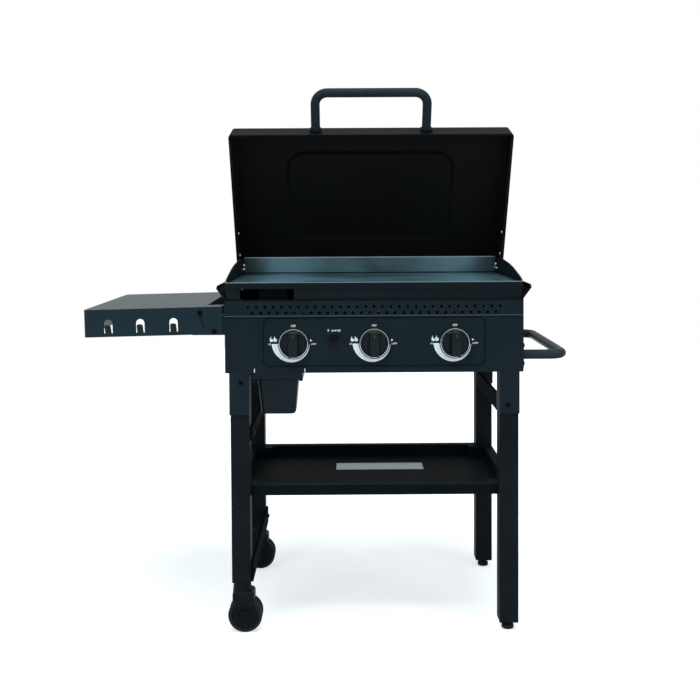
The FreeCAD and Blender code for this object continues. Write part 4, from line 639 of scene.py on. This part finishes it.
def thicken(form, faces):
    """Gives flat inked faces the thickness of a film."""
    grown = bmesh.ops.extrude_face_region(form, geom=faces)["geom"]
    bmesh.ops.translate(form, vec=(0, INK_THICK, 0), verts=only(bmesh.types.BMVert, grown))


def flat_shape(form, points, y):
    """One flat inked shape; points are (x, z) millimetres round its edge."""
    thicken(form, [form.faces.new([form.verts.new(spot(x, y, z)) for x, z in points])])


def flat_band(form, outer, inner, y):
    """One flat inked band between two lines of (x, z) millimetres."""
    out, back = [[form.verts.new(spot(x, y, z)) for x, z in line] for line in (outer, inner)]
    thicken(form, [form.faces.new((out[i], out[i + 1], back[i + 1], back[i])) for i in range(len(outer) - 1)])


# The marks round a dial: a crescent that thins from high to low, two flames, an arrow and three words
CRESCENT_INSIDE = 38.2
CRESCENT_THICK = 14.0
CRESCENT_THIN = 0.9
CRESCENT_TAPER = 1.25
CRESCENT_FROM = 180
CRESCENT_TURN = 177
CRESCENT_STEPS = 40
ARROW = [(41.2, 5.2), (46.6, 8.2), (41.2, 11.2)]
FLAMES_X, FLAMES_Z = -48.5, 12.0
FLAMES = (
    [(-8.4, -5.6), (-6.6, -6.8), (-1.6, -6.8), (-0.4, -4.6), (-1.4, -1.4), (-3.2, 0.4), (-3.4, -2.2), (-5.4, 1.6),
     (-6.2, 6.6), (-7.6, 2.2), (-9.2, -1.2)],
    [(1.0, -6.0), (2.6, -6.8), (7.4, -6.6), (8.8, -3.6), (7.6, 0.2), (5.8, 2.2), (5.4, -0.6), (3.4, 3.2), (3.2, 7.4),
     (1.2, 3.0), (-0.2, -1.0)],
)
WORDS = (("off", "OFF", 0.0, 43.5, 5.0), ("high", "HI", -57.5, -1.0, 4.0), ("low", "LOW", 49.0, -0.5, 4.0))
form = bmesh.new()
for number in (1, 2, 3):
    at = middle(f"knob_{number}")
    x0 = (at.x - CENTRE_X) * 1000
    z0 = at.z * 1000
    outer = []
    inner = []
    for i in range(CRESCENT_STEPS + 1):
        share = i / CRESCENT_STEPS
        angle = math.radians(CRESCENT_FROM + CRESCENT_TURN * share)
        reach = CRESCENT_INSIDE + (CRESCENT_THICK * (1 - share) ** CRESCENT_TAPER + CRESCENT_THIN)
        outer.append((x0 + reach * math.cos(angle), z0 + reach * math.sin(angle)))
        inner.append((x0 + CRESCENT_INSIDE * math.cos(angle), z0 + CRESCENT_INSIDE * math.sin(angle)))
    flat_band(form, outer, inner, FIELD_Y)
    flat_shape(form, [(x0 + x, z0 + z) for x, z in ARROW], FIELD_Y)
    for flame in FLAMES:
        flat_shape(form, [(x0 + FLAMES_X + x, z0 + FLAMES_Z + z) for x, z in flame], FIELD_Y)
    for mark, word, x, z, tall in WORDS:
        lettering(f"{mark}_mark_{number}", word, x0 + x, z0 + z, tall, FIELD_Y)
hang("dial_marks", form, "cart", [white_ink])

# The igniter's spark and word, and the two short ticks at the panel's lower left
SPARK = [(-2.0, 6.5), (1.5, 6.5), (0.2, 1.6), (3.0, 1.6), (-1.8, -6.5), (-0.6, -0.8), (-3.2, -0.8)]
SPARK_SHARE = 0.6
SPARK_X, SPARK_Z = -12.5, 18.5
WORD_X, WORD_TALL = 6.0, 4.4
TICKS_X = (-292.5, -169.5)
TICK_HALF = 1.0
TICK_LOW, TICK_HIGH = 643.5, 653.0
form = bmesh.new()
button = middle("igniter_button")
x0 = (button.x - CENTRE_X) * 1000
z0 = button.z * 1000
flat_shape(form, [(x0 + SPARK_X + x * SPARK_SHARE, z0 + SPARK_Z + z * SPARK_SHARE) for x, z in SPARK], FIELD_Y)
for x in TICKS_X:
    left, right = x - TICK_HALF, x + TICK_HALF
    flat_shape(form, [(left, TICK_LOW), (right, TICK_LOW), (right, TICK_HIGH), (left, TICK_HIGH)], SHEET_Y)
hang("spark_mark", form, "cart", [white_ink])
lettering("igniter_word", "IGNITER", x0 + WORD_X, z0 + SPARK_Z, WORD_TALL, FIELD_Y)

# The foil label on the tray's floor
LABEL_LOW, LABEL_HIGH = spot(-97, 271, 332.55), spot(141, 340, 332.72)
form = bmesh.new()
block(form, LABEL_LOW, LABEL_HIGH, 0.05, 1)
hang("blank_foil_label", form, "cart", [label_foil])


# Screw heads: a domed crown with a cross recess on each flat head

# An end wider than this is a head; two points closer than these are one point, or lie at one level
HEAD_FROM = 3.9 / 1000
SAME_POINT, SAME_LEVEL = 1e-5, 2e-5
CROWN_INSET = 0.4 / 1000
CROWN_RISE = 0.9 / 1000
# Shares of the head's radius; the cross's depth and the dome's heights are shares of the rise
CROSS_REACH, CROSS_WAIST, CROSS_DEEP = 0.48, 0.15, 0.9
FLAT_TOP = 0.62
DOME = ((0.86, 0.66), (0.98, 0.25), (1.0, 0.0), (1.0, -0.3))


def heads(name):
    """The flat ends of the screws in one node: middle, outward axis and radius."""
    copy = bmesh.new()
    copy.from_mesh(nodes[name].data)
    bmesh.ops.remove_doubles(copy, verts=copy.verts, dist=SAME_POINT)
    waiting = set(copy.verts)
    ends = []
    while waiting:
        solid = [waiting.pop()]
        for vert in solid:
            for edge in vert.link_edges:
                other = edge.other_vert(vert)
                if other in waiting:
                    waiting.discard(other)
                    solid.append(other)
        low = Vector([min(v.co[i] for v in solid) for i in range(3)])
        high = Vector([max(v.co[i] for v in solid) for i in range(3)])
        size = high - low
        # A screw is round, so its two like sizes lie across it
        along = min(range(3), key=lambda i: abs(size[i - 2] - size[i - 1]))
        for sign, level in ((-1.0, low[along]), (1.0, high[along])):
            centre = (low + high) / 2
            centre[along] = level
            axis = Vector((0.0, 0.0, 0.0))
            axis[along] = sign
            radius = max((v.co - centre).length for v in solid if abs(v.co[along] - level) < SAME_LEVEL)
            ends.append((tuple(round(c, 6) for c in centre), tuple(axis), round(radius, 6)))
    copy.free()
    return sorted(ends)


def crown(radius, rise):
    """The cross is sunk first, then the dome runs out to the head's edge and a little into the head; the mesh stands on
    the origin."""
    form = bmesh.new()
    arm, waist = CROSS_REACH * radius, CROSS_WAIST * radius
    corners = []
    for quarter in range(4):
        about = Matrix.Rotation(quarter * math.pi / 2, 3, "Z")
        places = ((waist, -waist), (arm, -waist), (arm, waist))
        corners += [form.verts.new(about @ Vector((x, y, rise))) for x, y in places]
    cross = [form.edges.new(pair) for pair in zip(corners, corners[1:] + corners[:1])]
    sunk = bmesh.ops.extrude_edge_only(form, edges=cross)["geom"]
    bmesh.ops.translate(form, vec=(0, 0, -CROSS_DEEP * rise), verts=only(bmesh.types.BMVert, sunk))
    bmesh.ops.contextual_create(form, geom=only(bmesh.types.BMEdge, sunk))
    bmesh.ops.subdivide_edges(form, edges=cross, cuts=1)
    lip = [e for e in form.edges if e.is_boundary]
    ring = bmesh.ops.create_circle(form, cap_ends=False, segments=24, radius=FLAT_TOP * radius)["verts"]
    bmesh.ops.translate(form, vec=(0, 0, rise), verts=ring)
    bmesh.ops.bridge_loops(form, edges=lip + [e for e in form.edges if e.is_wire])
    edge = [e for e in form.edges if e.is_boundary]
    for reach, height in DOME:
        grown = bmesh.ops.extrude_edge_only(form, edges=edge)["geom"]
        for vert in only(bmesh.types.BMVert, grown):
            outward = Vector((vert.co.x, vert.co.y, 0.0)).normalized()
            vert.co = outward * radius * reach + Vector((0.0, 0.0, rise * height))
        edge = [e for e in form.edges if e.is_boundary]
    bmesh.ops.contextual_create(form, geom=edge)
    return mesh_of("crown", form)


SCREWS = (
    ("frame_screws", "cart", black_oxide, "black_screws"),
    ("hinge_bolts", "cooktop", zinc, "zinc_bolts"),
    ("lid_bolts", "lid", zinc, "zinc_bolts"),
    ("shelf_pivot_screws", "cart", black_oxide, "black_screws"),
    ("shelf_lock_screws", "shelf", black_oxide, "black_screws"),
)
for name, body, finish, slot in SCREWS:
    form = bmesh.new()
    for centre, axis, radius in heads(name):
        if radius > HEAD_FROM:
            mesh = crown(radius - CROWN_INSET, CROWN_RISE)
            side = Vector(axis).orthogonal().normalized()
            stand = Matrix((side, Vector(axis).cross(side), axis)).transposed().to_4x4()
            stand.translation = centre
            mesh.transform(stand)
            form.from_mesh(mesh)
            bpy.data.meshes.remove(mesh)
    hang(f"{name}_crowns", form, body, [finish], ())


# Edges of the folded sheet pieces, by their radius in millimetres

SOFT_EDGES = {
    0.3: ("grease_chute", "frame_screws", "hinge_bolts", "lid_bolts"),
    0.4: ("control_panel", "body_side_left", "body_side_right", "back_panel", "front_plate_rail", "rear_plate_rail",
          "lid_shell", "lid_hinge_arms", "hinge_brackets", "storage_tray", "grease_cup", "cup_holder", "shelf_brackets",
          "igniter_housing", "valve_bodies"),
    0.5: ("side_shelf", "gas_inlet_fitting"),
    0.6: ("griddle_plate", "leg_sleeves", "rail_right_upper", "rail_left_upper", "rail_left_lower", "push_handle",
          "lid_handle_collars", "caster_hood_front", "caster_hood_rear"),
    0.8: ("leg_end_plugs",),
    1.5: ("leg_front_left", "leg_front_right", "leg_rear_left", "leg_rear_right"),
}


def ease(node, radius_mm):
    """Rounds a sheet piece's sharp edges as folding and powder coating do."""
    weld = node.modifiers.new("weld", "WELD")
    weld.merge_threshold = 2e-6
    level = node.modifiers.new("level", "DECIMATE")
    level.decimate_type = "DISSOLVE"
    level.angle_limit = math.radians(0.5)
    round_off = node.modifiers.new("round_off", "BEVEL")
    round_off.width = radius_mm / 1000
    round_off.segments = 2
    round_off.limit_method = "ANGLE"
    round_off.angle_limit = SMOOTH_BELOW
    round_off.use_clamp_overlap = True
    round_off.harden_normals = True


for radius_mm, names in SOFT_EDGES.items():
    for name in names:
        ease(nodes[name], radius_mm)


# Studio: a white sweep, soft lamps, and the lens where the photograph was taken

WHITE = (1.0, 1.0, 1.0, 1.0)
FLOOR_X, FLOOR_Y, FLOOR_Z = 6, 5, -0.0005


def seen_directly(tree):
    """1 for rays from the lens, in gloss and through glass, 0 for the light that falls on the cart."""
    rays = add(tree, "ShaderNodeLightPath")
    either = add(tree, "ShaderNodeMath", LARGER, {0: rays.outputs["Is Camera Ray"], 1: rays.outputs["Is Glossy Ray"]})
    return add(tree, "ShaderNodeMath", LARGER, {0: either, 1: rays.outputs["Is Transmission Ray"]})


def sweep_paper(name):
    """Matt white sweep that keeps the cart's shadow and is lifted to plain white where it is seen."""
    cloud_mm = 400
    material, tree, place = start(name)
    cloud = add(tree, "ShaderNodeTexNoise", None, {"Vector": place, "Scale": 1000 / cloud_mm, "Detail": 1.0})
    shade = add(tree, "ShaderNodeValToRGB", {"stops": ((0.3, "#E6E7E8"), (0.7, "#E9EAEB"))}, {"Fac": cloud})
    paper = add(tree, "ShaderNodeBsdfDiffuse", None, {"Color": shade})
    away = add(tree, "ShaderNodeVectorMath", LENGTH, {0: place})
    share = add(tree, "ShaderNodeMapRange", None,
                {"Value": away.outputs["Value"], "From Min": 1.5, "From Max": 3.5, "To Min": 0.6, "To Max": 1.0})
    lift = add(tree, "ShaderNodeMath", TIMES, {0: seen_directly(tree), 1: share})
    glow = add(tree, "ShaderNodeEmission", None, {"Color": WHITE, "Strength": lift})
    both = add(tree, "ShaderNodeAddShader", None, {0: paper, 1: glow})
    add(tree, "ShaderNodeOutputMaterial", None, {"Surface": both})
    return material


form = bmesh.new()
corners = ((-FLOOR_X, -FLOOR_Y), (FLOOR_X, -FLOOR_Y), (FLOOR_X, FLOOR_Y), (-FLOOR_X, FLOOR_Y))
form.faces.new([form.verts.new((x, y, FLOOR_Z)) for x, y in corners])
obj = put("studio_floor", mesh_of("studio_floor", form))
obj.data.materials.append(sweep_paper("white_sweep"))

# The cart is filled with faint cool light; the world behind it is seen as white
world = bpy.data.worlds.new("studio")
scene.world = world
world.use_nodes = True
tree = world.node_tree
tree.nodes.clear()
fill = add(tree, "ShaderNodeBackground", None, {"Color": (0.78, 0.93, 1.0, 1.0), "Strength": 0.45})
clear = add(tree, "ShaderNodeBackground", None, {"Color": WHITE, "Strength": 1.0})
pick = add(tree, "ShaderNodeMixShader", None, {0: seen_directly(tree), 1: fill, 2: clear})
add(tree, "ShaderNodeOutputWorld", None, {"Surface": pick})

# Name, place, width and height in metres, watts
SOFTBOXES = (
    ("overhead_softbox", (0.0, -0.9, 3.4), (2.6, 1.8), 95.0),
    ("front_left_softbox", (-2.8, -3.4, 1.9), (1.2, 1.8), 34.0),
    ("front_right_softbox", (3.2, -2.8, 1.7), (1.2, 1.8), 26.0),
)
LAMP_AIM = Vector((0.0, 0.0, 0.7))
COOL = (0.84, 0.96, 1.0)
for name, place, size, watts in SOFTBOXES:
    light = bpy.data.lights.new(name, "AREA")
    light.shape = "RECTANGLE"
    light.size, light.size_y = size
    light.energy = watts
    light.color = COOL
    lamp = put(name, light)
    lamp.location = place
    lamp.rotation_euler = (LAMP_AIM - Vector(place)).to_track_quat("-Z", "Y").to_euler()

# The lens as fitted to the photograph's straight edges: focal length, picture width and row of the axis in pixels,
# yaw, pitch and roll in degrees, and its place on the cart's own measures
FOCAL_PX = 975.0
PICTURE_PX = 700.0
AXIS_ROW = 248.69
LENS_TURNS = (0.272, 1.888, -0.309)
LENS_AT = (-69.2, -2368.0, 1022.4)
yaw, pitch, roll = (math.radians(v) for v in LENS_TURNS)
aim = Vector((math.sin(yaw) * math.cos(pitch), math.cos(yaw) * math.cos(pitch), -math.sin(pitch)))
level_right = Vector((math.cos(yaw), -math.sin(yaw), 0.0))
level_up = level_right.cross(aim)
right = level_right * math.cos(roll) + level_up * math.sin(roll)
up = level_up * math.cos(roll) - level_right * math.sin(roll)
lens = bpy.data.cameras.new("photo_lens")
lens.sensor_width = 36.0
lens.lens = FOCAL_PX / PICTURE_PX * lens.sensor_width
lens.shift_y = -(PICTURE_PX / 2 - AXIS_ROW) / PICTURE_PX
camera = put("photo_camera", lens)
camera.matrix_world = Matrix.Translation(spot(*LENS_AT)) @ Matrix((right, up, -aim)).transposed().to_4x4()
scene.camera = camera
scene.view_settings.view_transform = "Standard"
